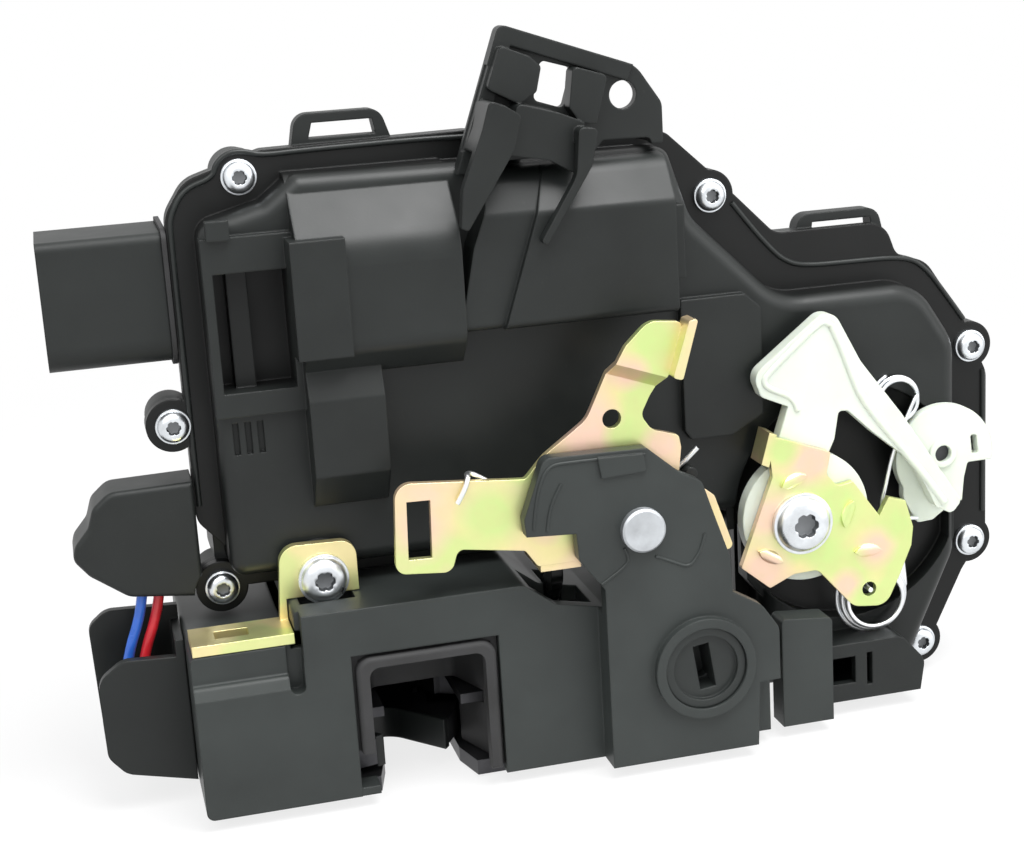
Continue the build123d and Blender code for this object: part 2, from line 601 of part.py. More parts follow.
def connector_shroud():
    shroud = side_slab(plug_corners(), PLUG_LEFT_X, PLUG_RIGHT_X)
    shroud -= side_slab(plug_corners(PLUG_WALL), PLUG_LEFT_X - 1, PLUG_RIGHT_X - PLUG_FLOOR)
    neck = block(PLUG_RIGHT_X, NECK_RIGHT_X, PARTING_Y + REAR_FLANGE_T + 0.3, PLUG_BACK_Y - 2.5, 87.0, 105.0)
    shroud += neck
    for y, z in pin_places():
        shroud -= block(PLUG_RIGHT_X - 9, 0, y - PIN_W / 2, y + PIN_W / 2, z - PIN_W / 2, z + PIN_W / 2)
    for z in (PLUG_HIGH_Z - 9.0, PLUG_HIGH_Z - 15.0):
        shroud += block(PLUG_LEFT_X + 3, PLUG_RIGHT_X - PLUG_FLOOR + 0.5, PLUG_FRONT_Y + PLUG_WALL - 0.5,
                        PLUG_FRONT_Y + PLUG_WALL + 1.0, z, z + 1.2)
    return shroud


def pin_places():
    middle_y = (PARTING_Y + REAR_FLANGE_T + PLUG_BACK_Y - 2.2) / 2
    middle_z = (PLUG_LOW_Z + PLUG_HIGH_Z) / 2
    return [(middle_y + (row - (PIN_ROWS - 1) / 2) * PIN_PITCH * 1.6,
             middle_z + (col - (PIN_COLUMNS - 1) / 2) * PIN_PITCH)
            for row in range(PIN_ROWS) for col in range(PIN_COLUMNS)]


def connector_pins():
    return [chamfer(block(PLUG_LEFT_X + 9, NECK_RIGHT_X, y - PIN_W / 2, y + PIN_W / 2, z - PIN_W / 2,
                          z + PIN_W / 2).faces().sort_by(Axis.X)[0].edges(), 0.25) for y, z in pin_places()]


def connector_seal():
    """Flat rubber collar between the shroud and the housing wall."""
    ring = side_slab(plug_corners(-0.8), PLUG_RIGHT_X, LEFT_X - 0.1)
    hole = block(PLUG_RIGHT_X - 1, NECK_RIGHT_X, PARTING_Y + REAR_FLANGE_T + 0.1, PLUG_BACK_Y - 2.3, 86.8,
                 105.2)
    return ring - hole


# ---- Latch cover: a box over the claw and pawl, with the mouth and the arm for the release pin ----


def latch_outline():
    return [(LATCH_LEFT_X, RIM_Z, 1.5), (LATCH_LEFT_X, LATCH_STEP_Z, 1), (LATCH_STEP_X, LATCH_STEP_Z),
            (LATCH_STEP_X, LATCH_TOP_Z, 1), (19.5, LATCH_TOP_Z, 2), (25.5, 34.4, 2), (35.0, 32.5, 1),
            (60.0, 32.5, 3), (66.0, 26.5, 3), (67.8, 22.0, 3), (67.8, RIM_Z)]


def latch_cover():
    # the side under the housing: the depth of the claw and pawl room
    cover = front_slab(latch_outline(), LATCH_FRONT_Y, LATCH_BACK_Y)
    cover -= block(LATCH_RIGHT_X + LATCH_WALL, 100, KEY_BACK_Y, 50, 0, 60)
    front = LATCH_FRONT_Y + LATCH_WALL
    back = LATCH_BACK_Y - LATCH_WALL
    room = block(LATCH_LEFT_X + LATCH_WALL, LATCH_STEP_X, front, back, RIM_Z - 3, LATCH_STEP_Z - LATCH_WALL)
    room += block(LATCH_STEP_X - 1, 19.5, front, back, RIM_Z - 3, ROOM_TOP_Z)
    room += block(19.0, LATCH_RIGHT_X, front, back, RIM_Z - 3, ROOM_RIGHT_TOP_Z)
    room += block(LATCH_RIGHT_X + LATCH_WALL + 3, 65.3, front, KEY_BACK_Y + 1, RIM_Z - 3, 22.0)
    mouth_wall = flat_slab([
        (-MOUTH_HALF_W - MOUTH_WALL, LATCH_FRONT_Y), (-MOUTH_HALF_W - MOUTH_WALL, -24.0, 2),
        (-MOUTH_BACK_HALF_W - MOUTH_WALL, MOUTH_BACK_Y + MOUTH_WALL, 3),
        (MOUTH_BACK_HALF_W + MOUTH_WALL, MOUTH_BACK_Y + MOUTH_WALL, 3),
        (MOUTH_HALF_W + MOUTH_WALL, -24.0, 2), (MOUTH_HALF_W + MOUTH_WALL, LATCH_FRONT_Y)],
        BACK_PLATE_Z + BACK_PLATE_T + 0.3, MOUTH_TOP_Z + MOUTH_WALL)
    cover = cover - room + mouth_wall
    cover -= flat_slab(mouth_corners(), RIM_Z - 5, MOUTH_TOP_Z)
    # ledge that the steel plate seats on
    for x0, x1, y0, y1 in PLATE_PADS:
        cover += block(x0, x1, y0, y1, PLATE_T, 8.0)
    # block for the key coupling and arm for the pin of the release lever
    cover += front_slab([
        (KEY_LEFT_X, RIM_Z), (KEY_LEFT_X, 38.0), (28.9, 44.3, 1), (28.6, 49.6), (19.2, 50.2),
        (18.9, 53.4, 2),
        (23.2, 64.6, 2), (42.8, 64.2, 1), (49.2, 58.6, 3), (53.2, 56.6, 2), (55.0, 51.0, 3), (58.4, 40.8, 1),
        (58.6, 34.0), (64.5, 30.4, 3), (67.8, 25.5, 3), (67.8, 15.0), (63.6, 14.8), (63.0, RIM_Z)],
        ARM_FRONT_Y, ARM_BACK_Y)
    cover += front_slab([
        (KEY_LEFT_X, RIM_Z), (KEY_LEFT_X, 32.5), (60.0, 32.5, 3), (66.0, 26.5, 2), (67.8, 22.0, 2),
        (67.8, 15.0),
        (63.6, 14.8), (63.0, RIM_Z)], ARM_BACK_Y - 0.5, LATCH_FRONT_Y + 0.5)
    cover += front_slab([
        (33.2, 63.6), (42.0, 63.4), (42.4, 60.0), (33.8, 59.6)], ARM_FRONT_Y - 0.6, ARM_FRONT_Y + 0.5)
    # block at the right, joined by a web behind the notch
    cover += front_slab([
        (SIDE_BLOCK_LEFT_X, RIM_Z), (SIDE_BLOCK_LEFT_X, SIDE_BLOCK_TOP_Z, 1),
        (SIDE_BLOCK_RIGHT_X, SIDE_BLOCK_TOP_Z - 1.0, 1), (SIDE_BLOCK_RIGHT_X, RIM_Z)],
        LATCH_FRONT_Y, SIDE_BLOCK_BACK_Y)
    cover += block(62.0, SIDE_BLOCK_LEFT_X + 1, LATCH_FRONT_Y + 2, SIDE_BLOCK_BACK_Y, 15.5, 20.5)
    cover += pin_y(KEY_X, KEY_Z, KEY_RING_R, KEY_RING_Y, ARM_FRONT_Y + 1)
    cover -= pin_y(KEY_X, KEY_Z, KEY_R + KEY_FIT, KEY_RING_Y - 1, KEY_SEAT_Y)
    cover -= pin_y(KEY_X, KEY_Z, KEY_STEM_R + KEY_FIT, KEY_RING_Y, KEY_BACK_Y + 1)
    cover -= block(KEY_LEFT_X + LATCH_WALL, KEY_X - KEY_RING_R - 0.6, ARM_FRONT_Y + LATCH_WALL, front + 1,
                   RIM_Z - 3, 30.0)
    # gap for the tongue of the release lever, slot and bearing of the pawl lifter
    cover -= block(TONGUE_LEFT_X + 1.0, TONGUE_RIGHT_X, front, TONGUE_BACK_Y, ROOM_RIGHT_TOP_Z - 1, 60)
    cover -= block(LIFTER_LEFT_X - 0.5, LIFTER_RIGHT_X + 0.5, TONGUE_BACK_Y - 4, -7.9, ROOM_RIGHT_TOP_Z - 1,
                   60)
    cover += block(22.6, LIFTER_LEFT_X - 0.2, LIFTER_Y - 4, LIFTER_Y + 4, 17.0, ROOM_RIGHT_TOP_Z + 1)
    cover -= pin_x(LIFTER_Y, LIFTER_Z, LIFTER_PIN_R, 20, 30)
    # thicker wall behind the shoulder, then the shoulder and the deep slot beside it; ledge in the mouth
    cover += block(LATCH_LEFT_X + 1, -21.0, front - 0.5, front + 2.4, 23.0, LATCH_STEP_Z - 1)
    cover -= side_slab([
        (-40, 25.4), (-29.9, 25.4), (-28.6, 27.6, 1.2), (-27.6, 27.6, 0.4), (-27.6, 50), (-40, 50)],
        LATCH_LEFT_X - 1, SHOULDER_RIGHT_X)
    cover -= front_slab([
        (SHOULDER_RIGHT_X - 0.1, 50), (SHOULDER_RIGHT_X - 0.1, 24.2, 1.3), (SHOULDER_RIGHT_X + 2.7, 24.2,
            1.3),
        (SHOULDER_RIGHT_X + 2.7, 30), (LATCH_STEP_X + 0.9, 31.0), (LATCH_STEP_X + 0.9, 50)], -40,
        front + 0.9)
    cover += block(-MOUTH_HALF_W - 0.5, -10.4, LATCH_FRONT_Y + 0.2, PLATE_FRONT_Y - 0.6, RIM_Z, RIM_Z + 1.6)
    # room for the bracket screw's head, seat of the release pin
    cover -= block(BRACKET_SCREW_X - 5.2, BRACKET_SCREW_X + 5.2, BRACKET_BOSS_Y - 5.6, BRACKET_BOSS_Y + 0.1,
                   ROOM_TOP_Z + 2.0, LATCH_TOP_Z + 1)
    cover -= pin_y(RELEASE_X, RELEASE_Z, RELEASE_PIN_R, ARM_FRONT_Y - 2, ARM_BACK_Y + 1)
    return cover


def mouth_corners(i=0.0, front=LATCH_FRONT_Y - 5):
    """Mouth in X and Y: wide at the front, narrow at the back; i makes it smaller."""
    return [(-MOUTH_HALF_W + i, front), (-MOUTH_HALF_W + i, -24.0, 2), (-MOUTH_BACK_HALF_W + i,
        MOUTH_BACK_Y - i, 2),
            (MOUTH_BACK_HALF_W - i, MOUTH_BACK_Y - i, 2), (MOUTH_HALF_W - i, -24.0, 2), (MOUTH_HALF_W - i,
                front)]


def liner_walls(low, high, front):
    """Walls that follow the mouth, without floor or roof."""
    return (flat_slab(mouth_corners(0.1, front), low, high)
            - flat_slab(mouth_corners(LINER_T, front - 1), low - 1, high + 1))


def liner_lip(left, right, top, corner, front, back):
    """Slab of the mouth's outline, round at the top."""
    return front_slab([(-left, LINER_LOW_Z), (-left, top, corner), (right, top, corner),
                       (right, LINER_LOW_Z)], front, back)


def striker_liner():
    """Soft lining of the mouth, with a rounded lip; its right side reaches down to the steel plate."""
    low = BACK_PLATE_Z + BACK_PLATE_T + 0.3
    front = LATCH_FRONT_Y + 1.5
    liner = flat_slab(mouth_corners(0.1, front), low, MOUTH_TOP_Z - 0.1)
    liner -= flat_slab(mouth_corners(LINER_T, front - 1), low - 1, MOUTH_TOP_Z - LINER_T)
    # right side below the back plate, clear of the claw's finger
    side = liner_walls(LINER_LOW_Z, low + 0.5, front) & block(0, MOUTH_HALF_W, front, LINER_END_Y, 0,
                                                              low + 1)
    side -= block(0, 20, PLATE_NOSE_Y - 0.3, 0, BACK_PLATE_Z - 0.3, low)
    leg = liner_walls(LINER_LEFT_LOW_Z, low + 0.5, front) & block(-MOUTH_HALF_W, 0, front, -24.6, 0, low + 1)
    # lip, standing a little in front of the cover
    face = LATCH_FRONT_Y - LINER_LIP
    outer = MOUTH_HALF_W - LINER_GROOVE
    lip = liner_lip(outer, outer, MOUTH_TOP_Z - LINER_GROOVE, 3.0, face, front + 0.5)
    lip = fillet(lip.faces().sort_by(Axis.Y)[0].edges(), 0.9)
    inner = liner_lip(outer - 2.4, outer - 2.2, MOUTH_TOP_Z - LINER_GROOVE - 2.0, 2.0, face - 1, front + 1)
    inner += block(-30, 0, face - 1, front + 1, 0, LINER_LEFT_LOW_Z)
    lip -= inner
    return liner + side + leg + lip


def mouth_slot(half_width, end_y, front):
    """Slot that the striker enters, rounded at the end."""
    return (Pos(0, end_y - half_width) * Circle(half_width)
            + Pos(0, (front + end_y - half_width) / 2) * Rectangle(2 * half_width,
                end_y - half_width - front))


def latch_plate():
    plate = flat_slab([
        (PLATE_LEFT_X, PLATE_FRONT_Y, PLATE_CORNER_R), (PLATE_LEFT_X, PLATE_BACK_Y, PLATE_CORNER_R),
        (PLATE_RIGHT_X, PLATE_BACK_Y, PLATE_CORNER_R), (PLATE_RIGHT_X, PLATE_FRONT_Y, PLATE_CORNER_R)], 0,
        PLATE_T)
    plate -= extrude(mouth_slot(SLOT_HALF_W, SLOT_END_Y, PLATE_FRONT_Y - 1), amount=PLATE_T)
    plate -= flat_slab([(-SLOT_FLARE_W, PLATE_FRONT_Y - 0.5), (-SLOT_HALF_W, SLOT_FLARE_Y),
                        (SLOT_HALF_W, SLOT_FLARE_Y),
                        (SLOT_FLARE_W, PLATE_FRONT_Y - 0.5)], -1, PLATE_T + 1)
    for x, y in (FIXING_LEFT, FIXING_RIGHT):
        plate += pin_z(x, y, FIXING_COLLAR_R, 0, PLATE_T + FIXING_COLLAR_H)
        plate -= pin_z(x, y, FIXING_HOLE_R, -1, PLATE_T + FIXING_COLLAR_H + 1)
    plate -= pin_z(*CLAW_PIVOT, CLAW_PIN_R - 1, -1, PLATE_T + 1)
    plate -= pin_z(PAWL_X, PAWL_Y, PAWL_PIN_R - 1, -1, PLATE_T + 1)
    return plate


def latch_back_plate():
    high = BACK_PLATE_Z + BACK_PLATE_T
    plate = flat_slab([
        (-28.0, -16.0, 5), (-28.0, 12.0, 5), (-10.0, 16.6, 4), (24.0, 16.6, 4), (29.8, 10.0, 4),
        (29.8, -6.0, 4),
        (13.5, PLATE_NOSE_Y, 4), (-20.0, PLATE_NOSE_Y, 4)], BACK_PLATE_Z, high)
    plate -= Pos(0, 0, BACK_PLATE_Z) * extrude(mouth_slot(SLOT_HALF_W, SLOT_END_Y, -23.0),
                                               amount=BACK_PLATE_T)
    plate -= pin_z(*CLAW_PIVOT, CLAW_PIN_R - 1, BACK_PLATE_Z - 1, high + 1)
    plate -= pin_z(PAWL_X, PAWL_Y, PAWL_PIN_R - 1, BACK_PLATE_Z - 1, high + 1)
    return plate


def shouldered_pin(x, y, r):
    """Pin between the two plates, its ends riveted over in them."""
    high = BACK_PLATE_Z + BACK_PLATE_T
    pin = pin_z(x, y, r, PLATE_T, BACK_PLATE_Z) + pin_z(x, y, r - 1, 0.3, high)
    return pin + pin_z(x, y, r - 0.2, high, high + 1.2)


def claw_point(r, deg):
    """Point on the claw at rest, the angle counted from its slot."""
    return polar(CLAW_PIVOT, r, CLAW_REST_DEG + deg)


def claw_slot(width):
    """Slot of the claw, along the claw's own X axis."""
    root = CLAW_SLOT_ROOT_R + CLAW_SLOT_W / 2
    far = CLAW_FINGER_R + 4
    return Pos(root, 0) * Circle(width / 2) + Pos((root + far) / 2, 0) * Rectangle(far - root, width)


def claw_face():
    """Claw in its own frame: pivot at the origin, slot along X."""
    face = Circle(CLAW_HUB_R)
    reach = CLAW_FINGER_R + 4
    sector = make_face(Polyline((0, 0), polar((0, 0), reach, -48), polar((0, 0), reach, -15),
                                polar((0, 0), reach, 25), polar((0, 0), reach, 65), polar((0, 0), reach,
                                    106),
                                close=True))
    face += sector & Circle(CLAW_R)
    finger = make_face(Polyline((0, 0), polar((0, 0), reach, 10), polar((0, 0), reach,
        CLAW_FINGER_END_DEG - 8),
                                polar((0, 0), reach, CLAW_FINGER_END_DEG), close=True))
    face += finger & Circle(CLAW_FINGER_R)
    # first latch notch in the rim; the finger's side is the full latch face
    deg = CLAW_NOTCH_DEG
    tooth = make_face(Polyline(polar((0, 0), CLAW_R + 1, deg), polar((0, 0), CLAW_R - CLAW_NOTCH_DEPTH,
        deg + 1),
                               polar((0, 0), CLAW_R + 1, deg + 14), close=True))
    return face - tooth


def claw():
    face = claw_face() - claw_slot(CLAW_SLOT_W + 2 * SLEEVE_WALL) - Circle(CLAW_PIN_R + PIN_FIT)
    place = Pos(*CLAW_PIVOT, CLAW_Z) * Rot(0, 0, CLAW_REST_DEG)
    return place * extrude(face, amount=CLAW_T)


def claw_sleeve():
    """Moulded lining of the claw's slot, a little thicker than the steel."""
    rim = claw_slot(CLAW_SLOT_W + 2 * SLEEVE_WALL) - claw_slot(CLAW_SLOT_W)
    rim = rim & claw_face()
    place = Pos(*CLAW_PIVOT, CLAW_Z - SLEEVE_OVER) * Rot(0, 0, CLAW_REST_DEG)
    return place * extrude(rim, amount=CLAW_T + 2 * SLEEVE_OVER)


def pawl():
    tip = polar(CLAW_PIVOT, CLAW_FINGER_R + CAM_CLEAR, PAWL_TIP_DEG)
    arm = outline([
        (PAWL_X, PAWL_Y + PAWL_HUB_R - 0.2), (tip[0] + 2.0, PAWL_Y + PAWL_HUB_R + 1.2, 1),
        (tip[0] - 1.2, tip[1] + 2.4, 1),
        (tip[0] - 1.0, tip[1] - 2.0), (9.0, 7.2), (PAWL_X - 5.0, PAWL_Y - 2.6),
        (PAWL_X, PAWL_Y - PAWL_HUB_R + 0.2)])
    arm -= Pos(*CLAW_PIVOT) * Circle(CLAW_FINGER_R + CAM_CLEAR)
    tail = outline([
        (PAWL_X, PAWL_Y + 4.0), (PAWL_TAIL_X, PAWL_Y + 3.0, 1), (PAWL_TAIL_X, PAWL_Y - 3.5, 1),
        (PAWL_X, PAWL_Y - 5.0)])
    face = arm + tail + Pos(PAWL_X, PAWL_Y) * Circle(PAWL_HUB_R)
    face -= Pos(PAWL_X, PAWL_Y) * Circle(PAWL_PIN_R + PIN_FIT)
    body = extrude(Plane.XY.offset(CLAW_Z) * face, amount=PAWL_T)
    # upright tab that the release lever works
    body += block(PAWL_TAIL_X - 2.5, PAWL_TAIL_X, PAWL_Y - 3.0, PAWL_Y + 2.6, CLAW_Z, PAWL_TAB_Z)
    return body


# ---- Release lever: a bent sheet with a slot for the handle rod and a hook for the inner cable ----


def bent_sheet():
    """Endless sheet in the lever's plane, joggled forward across the upper arm."""
    front = LEVER_FRONT_Y
    start = LEVER_STEP_START
    end = start + LEVER_STEP_RUN
    far = 80.0
    along = Plane(origin=(RELEASE_X, 0, RELEASE_Z), x_dir=(cos(radians(LEVER_ARM_DEG)), 0,
                                                           sin(radians(LEVER_ARM_DEG))),
                  z_dir=(-sin(radians(LEVER_ARM_DEG)), 0, cos(radians(LEVER_ARM_DEG))))
    side = make_face(Polyline((-far, front), (start, front), (end, front - LEVER_STEP),
                              (far, front - LEVER_STEP),
                              (far, front - LEVER_STEP + SHEET_T), (end + 0.4, front - LEVER_STEP + SHEET_T),
                              (start + 0.4, front + SHEET_T), (-far, front + SHEET_T), close=True))
    # the profile's second axis is Y
    return extrude(along * side, amount=far, both=True)


def release_lever():
    blank = front_slab([
        (-3.8, 62.4, 3), (20.4, 60.2, 1), (24.2, 64.2, 4), (32.6, 70.0, 6), (36.6, 78.0, 3), (39.9, 83.4, 4),
        (44.5, 87.6, 4), (51.0, 86.8, 1), (48.2, 77.6), (44.9, 73.2, 3), (43.0, 69.6, 2), (45.0, 66.6, 3),
        (50.2, 65.0, 1),
        (50.6, 62.6, 1), (50.0, 58.0), (56.8, 52.4, 1), (60.4, 41.6, 1), (50.0, 40.0), (38.0, 39.6, 3),
        (30.5, 43.2),
        (21.9, 43.2, 1), (19.6, 46.6, 1), (7.0, 48.6, 1.5), (5.6, 44.4, 2), (-4.8, 45.4, 2)],
        LEVER_FRONT_Y - LEVER_STEP - 1, LEVER_FRONT_Y + SHEET_T + 1)
    lever = blank & bent_sheet()
    # tongue bent back over the gap in the latch cover
    back = LEVER_FRONT_Y + SHEET_T
    lever += block(22.4, 30.2, LEVER_FRONT_Y + 0.3, back + TONGUE_DEPTH, 43.2 - SHEET_T + 0.2, 43.4)
    # cable hook bent forward at the end of the upper arm
    front = LEVER_FRONT_Y - LEVER_STEP
    lever += front_slab([(51.2, 87.4, 0.5), (53.0, 87.8, 0.5), (49.6, 76.6, 0.5), (47.8, 77.2, 0.5)],
                        front - 3.0, front + SHEET_T)
    lever -= pin_y(RELEASE_X, RELEASE_Z, RELEASE_PIN_R + PIN_FIT, front - 5, back + 5)
    lever -= pin_y(37.4, 69.6, LEVER_HOLE_R, front - 5, back + 5)
    slot = Pos(0.1, 0, 53.2) * Rot(0, 2, 0) * Box(LEVER_SLOT_W, 20, LEVER_SLOT_H)
    return lever - Pos(0, LEVER_FRONT_Y, 0) * slot


def release_pin():
    """Headed pin through the arm of the latch cover and the lever into the front cover."""
    pin = pin_y(RELEASE_X, RELEASE_Z, RELEASE_PIN_R, ARM_FRONT_Y, PARTING_Y - 4.5)
    head = pin_y(RELEASE_X, RELEASE_Z, PIN_HEAD_R, ARM_FRONT_Y - PIN_HEAD_H, ARM_FRONT_Y)
    return pin + chamfer(head.faces().sort_by(Axis.Y)[0].edges(), 0.4)


def wire_bar(start, end, r=WIRE_R):
    """Straight piece of spring wire, six-sided."""
    a = Vector(*start)
    b = Vector(*end)
    return extrude(Plane(origin=a, z_dir=(b - a)) * RegularPolygon(r, 6), amount=(b - a).length)


def coil(plane, r, turns, pitch, start_deg, wire=WIRE_R):
    """Close-wound coil that grows along the plane's normal."""
    path = Helix(pitch=pitch, height=pitch * turns, radius=r)
    section = Plane(origin=path @ 0, z_dir=path % 0) * RegularPolygon(wire, 6)
    return plane * Rot(0, 0, start_deg) * sweep(section, path=path)


def coil_point(plane, r, deg, along):
    return tuple((plane * Location((r * cos(radians(deg)), r * sin(radians(deg)), along))).position)


def release_spring():
    """Return spring round the boss; one end hooks over the lever, the other bears on the arm's edge."""
    place = Plane(origin=(RELEASE_X, RELEASE_COIL_BACK_Y, RELEASE_Z), x_dir=(1, 0, 0), z_dir=(0, -1, 0))
    start = 30.0
    end = start + 360 * RELEASE_COIL_TURNS
    spring = coil(place, RELEASE_COIL_R, RELEASE_COIL_TURNS, RELEASE_COIL_PITCH, start)
    first = coil_point(place, RELEASE_COIL_R, start, 0)
    last = coil_point(place, RELEASE_COIL_R, end, RELEASE_COIL_TURNS * RELEASE_COIL_PITCH)
    hook_y = LEVER_FRONT_Y + SHEET_T + WIRE_R + 0.4
    corner = (9.6, hook_y, 62.3)
    spring += wire_bar(last, corner)
    spring += wire_bar((corner[0] + 0.2, hook_y + 0.5, corner[2]), (corner[0], LEVER_FRONT_Y - 1.2,
        corner[2]))
    spring += wire_bar((corner[0] + 0.3, LEVER_FRONT_Y - 0.75, corner[2] + 0.3), (7.2, LEVER_FRONT_Y - 0.75,
        57.6))
    return spring + wire_bar(first, (55.6, -27.2, 60.6))


# ---- Lock levers ----


def lock_arm():
    """White lever: arrow-shaped thumb lever, round base, and the arm that works the inner lever."""
    arrow = front_slab([
        (85.3, 84.2, 3.2), (69.0, 72.0, 3), (70.6, 67.6, 1.5), (76.1, 65.1), (73.0, 56.0), (82.0, 50.0),
        (85.6, 57.4),
        (86.6, 63.0, 0.8), (88.6, 62.8, 0.8), (94.0, 57.6), (102.6, 50.4), (107.4, 40.6), (110.8, 38.7, 1.4),
        (113.0, 41.2, 1.4), (99.9, 61.0, 4), (91.4, 72.4, 8)], ARROW_FRONT_Y, ARROW_FRONT_Y + ARROW_T)
    base = pin_y(*ARROW_BASE, ARROW_BASE_R, ARROW_FRONT_Y, ARROW_FRONT_Y + ARROW_T)
    shoulder = pin_y(LOCK_X, LOCK_Z, 6.0, ARROW_FRONT_Y + ARROW_T, WELL_FLOOR_Y - 1.5 - 0.1)
    spindle = pin_y(LOCK_X, LOCK_Z, LOCK_HUB_R, WELL_FLOOR_Y - 2.0, CRANK_FRONT_Y)
    spindle += block(LOCK_X - SPINDLE_SQUARE, LOCK_X + SPINDLE_SQUARE, CRANK_FRONT_Y - 1, SPINDLE_END_Y,
                     LOCK_Z - SPINDLE_SQUARE, LOCK_Z + SPINDLE_SQUARE)
    bore = pin_y(LOCK_X, LOCK_Z, LOCK_SCREW_R, ARROW_FRONT_Y - 1, SPINDLE_END_Y - 3)
    arm = arrow + base + shoulder + spindle - bore
    # room for the folded edge of the lock plate
    return arm - front_slab([(69.0, 54.2), (70.9, 61.6), (73.6, 60.6), (71.7, 53.0)], ARROW_FRONT_Y - 1, -10)


def louvre(x, z, deg):
    """Raised lens pressed out of the plate: a roll within two arcs."""
    front = LOCK_PLATE_Y - LOUVRE_RISE
    arc_r = (LOUVRE_HALF_L ** 2 + LOUVRE_HALF_W ** 2) / (2 * LOUVRE_HALF_W)
    roll_r = (LOUVRE_HALF_W ** 2 + LOUVRE_RISE ** 2) / (2 * LOUVRE_RISE)
    lens = pin_y(0, arc_r - LOUVRE_HALF_W, arc_r, front - 1, LOCK_PLATE_Y + 0.5)
    lens &= pin_y(0, LOUVRE_HALF_W - arc_r, arc_r, front - 1, LOCK_PLATE_Y + 0.5)
    lens &= pin_x(front + roll_r, 0, roll_r, -LOUVRE_HALF_L, LOUVRE_HALF_L)
    return Pos(x, 0, z) * Rot(0, -deg, 0) * lens


def lock_plate():
    plate = front_slab([
        (71.0, 60.4, 0.6), (84.0, 55.4, 0.5), (83.0, 51.0, 1.5), (85.4, 48.2, 1.5), (88.6, 48.8),
        (94.2, 41.0), (96.2, 44.6),
        (99.8, 43.4), (101.4, 37.8, 0.6), (101.0, 34.0), (98.4, 28.0), (95.4, 22.0, 3.4), (88.4, 22.8, 3.4),
        (80.8, 31.6, 2),
        (75.8, 31.4, 2), (70.7, 29.2, 0.5), (64.8, 34.2, 0.5), (71.8, 51.8)], LOCK_PLATE_Y,
        LOCK_PLATE_Y + SHEET_T)
    plate += front_slab([(69.6, 54.6), (71.4, 60.8), (72.9, 60.2), (71.1, 53.9)], LOCK_PLATE_Y,
                        LOCK_PLATE_Y + 5.8)
    for x, z, deg in ((76.0, 50.6, 20), (87.4, 42.4, 70), (70.8, 35.8, -30), (91.4, 34.2, 0)):
        plate += louvre(x, z, deg)
    plate -= pin_y(91.8, 26.0, 1.5, LOCK_PLATE_Y - 2, LOCK_PLATE_Y + 5)
    return plate - pin_y(LOCK_X, LOCK_Z, LOCK_SCREW_R, LOCK_PLATE_Y - 2, LOCK_PLATE_Y + 5)


def lock_screw():
    front = LOCK_PLATE_Y - LOCK_SCREW_HEAD_H
    head = pin_y(LOCK_X, LOCK_Z, LOCK_SCREW_HEAD_R, front, LOCK_PLATE_Y)
    head = chamfer(head.faces().sort_by(Axis.Y)[0].edges(), 1.2)
    head -= extrude(front_plane(front + 1.6) * Pos(LOCK_X, LOCK_Z) * RegularPolygon(2.6, 6), amount=3)
    return head + pin_y(LOCK_X, LOCK_Z, LOCK_SCREW_R, LOCK_PLATE_Y, SPINDLE_END_Y - 3.5)


def inner_lever():
    """White disc with a hooked rim, turned by the arm of the lock lever."""
    back = INNER_FRONT_Y + INNER_T
    disc = pin_y(111.3, 49.8, INNER_DISC_R, INNER_FRONT_Y, back)
    disc += front_slab([
        (102.4, 54.0), (102.2, 42.0, 2), (105.2, 36.4, 1), (108.6, 36.6, 1), (114.6, 40.6, 1.5),
        (116.0, 46.0)],
        INNER_FRONT_Y, back)
    disc -= front_slab([(116.4, 47.8, 0.6), (125, 47.8), (125, 30), (113.6, 30), (115.2, 40.2),
                        (115.6, 44.6)],
                       INNER_FRONT_Y - 1, back + 1)
    disc -= front_slab([(117.0, 53.4, 0.5), (118.4, 53.4, 0.5), (118.8, 49.4, 0.5), (117.4, 49.4, 0.5)],
                       INNER_FRONT_Y - 1, back + 1)
    disc += pin_y(INNER_X, INNER_Z, 2.9, INNER_FRONT_Y - 0.5, INNER_FRONT_Y + 0.5)
    return disc - pin_y(INNER_X, INNER_Z, STUD_R + PIN_FIT, INNER_FRONT_Y - 2, back + 1)


def inner_stud():
    stud = pin_y(INNER_X, INNER_Z, STUD_R, INNER_FRONT_Y + 0.7, PARTING_Y - 1.5)
    return stud + pin_y(INNER_X, INNER_Z, 2.7, INNER_FRONT_Y + INNER_T + 0.1, WELL_FLOOR_Y)


def lock_spring():
    """Over-centre spring: one end in the lock plate's hole, the other in the front cover."""
    place = Plane(origin=(LOCK_COIL_X, -16.85, LOCK_COIL_Z), x_dir=(1, 0, 0), z_dir=(0, -1, 0))
    turns = 3.75
    pitch = 1.15
    spring = coil(place, LOCK_COIL_R, turns, pitch, 0.0)
    last = coil_point(place, LOCK_COIL_R, 360 * turns, turns * pitch)
    first = coil_point(place, LOCK_COIL_R, 0, 0)
    spring += wire_bar(last, (91.8, last[1] - 0.1, 26.0))
    spring += wire_bar((91.8, last[1] + 0.3, 26.0), (91.8, LOCK_PLATE_Y - 0.8, 26.0))
    spring += wire_bar(first, (first[0], first[1], 33.0))
    return spring + wire_bar((first[0], first[1] - 0.3, 33.0), (first[0], WELL_FLOOR_Y, 33.0))


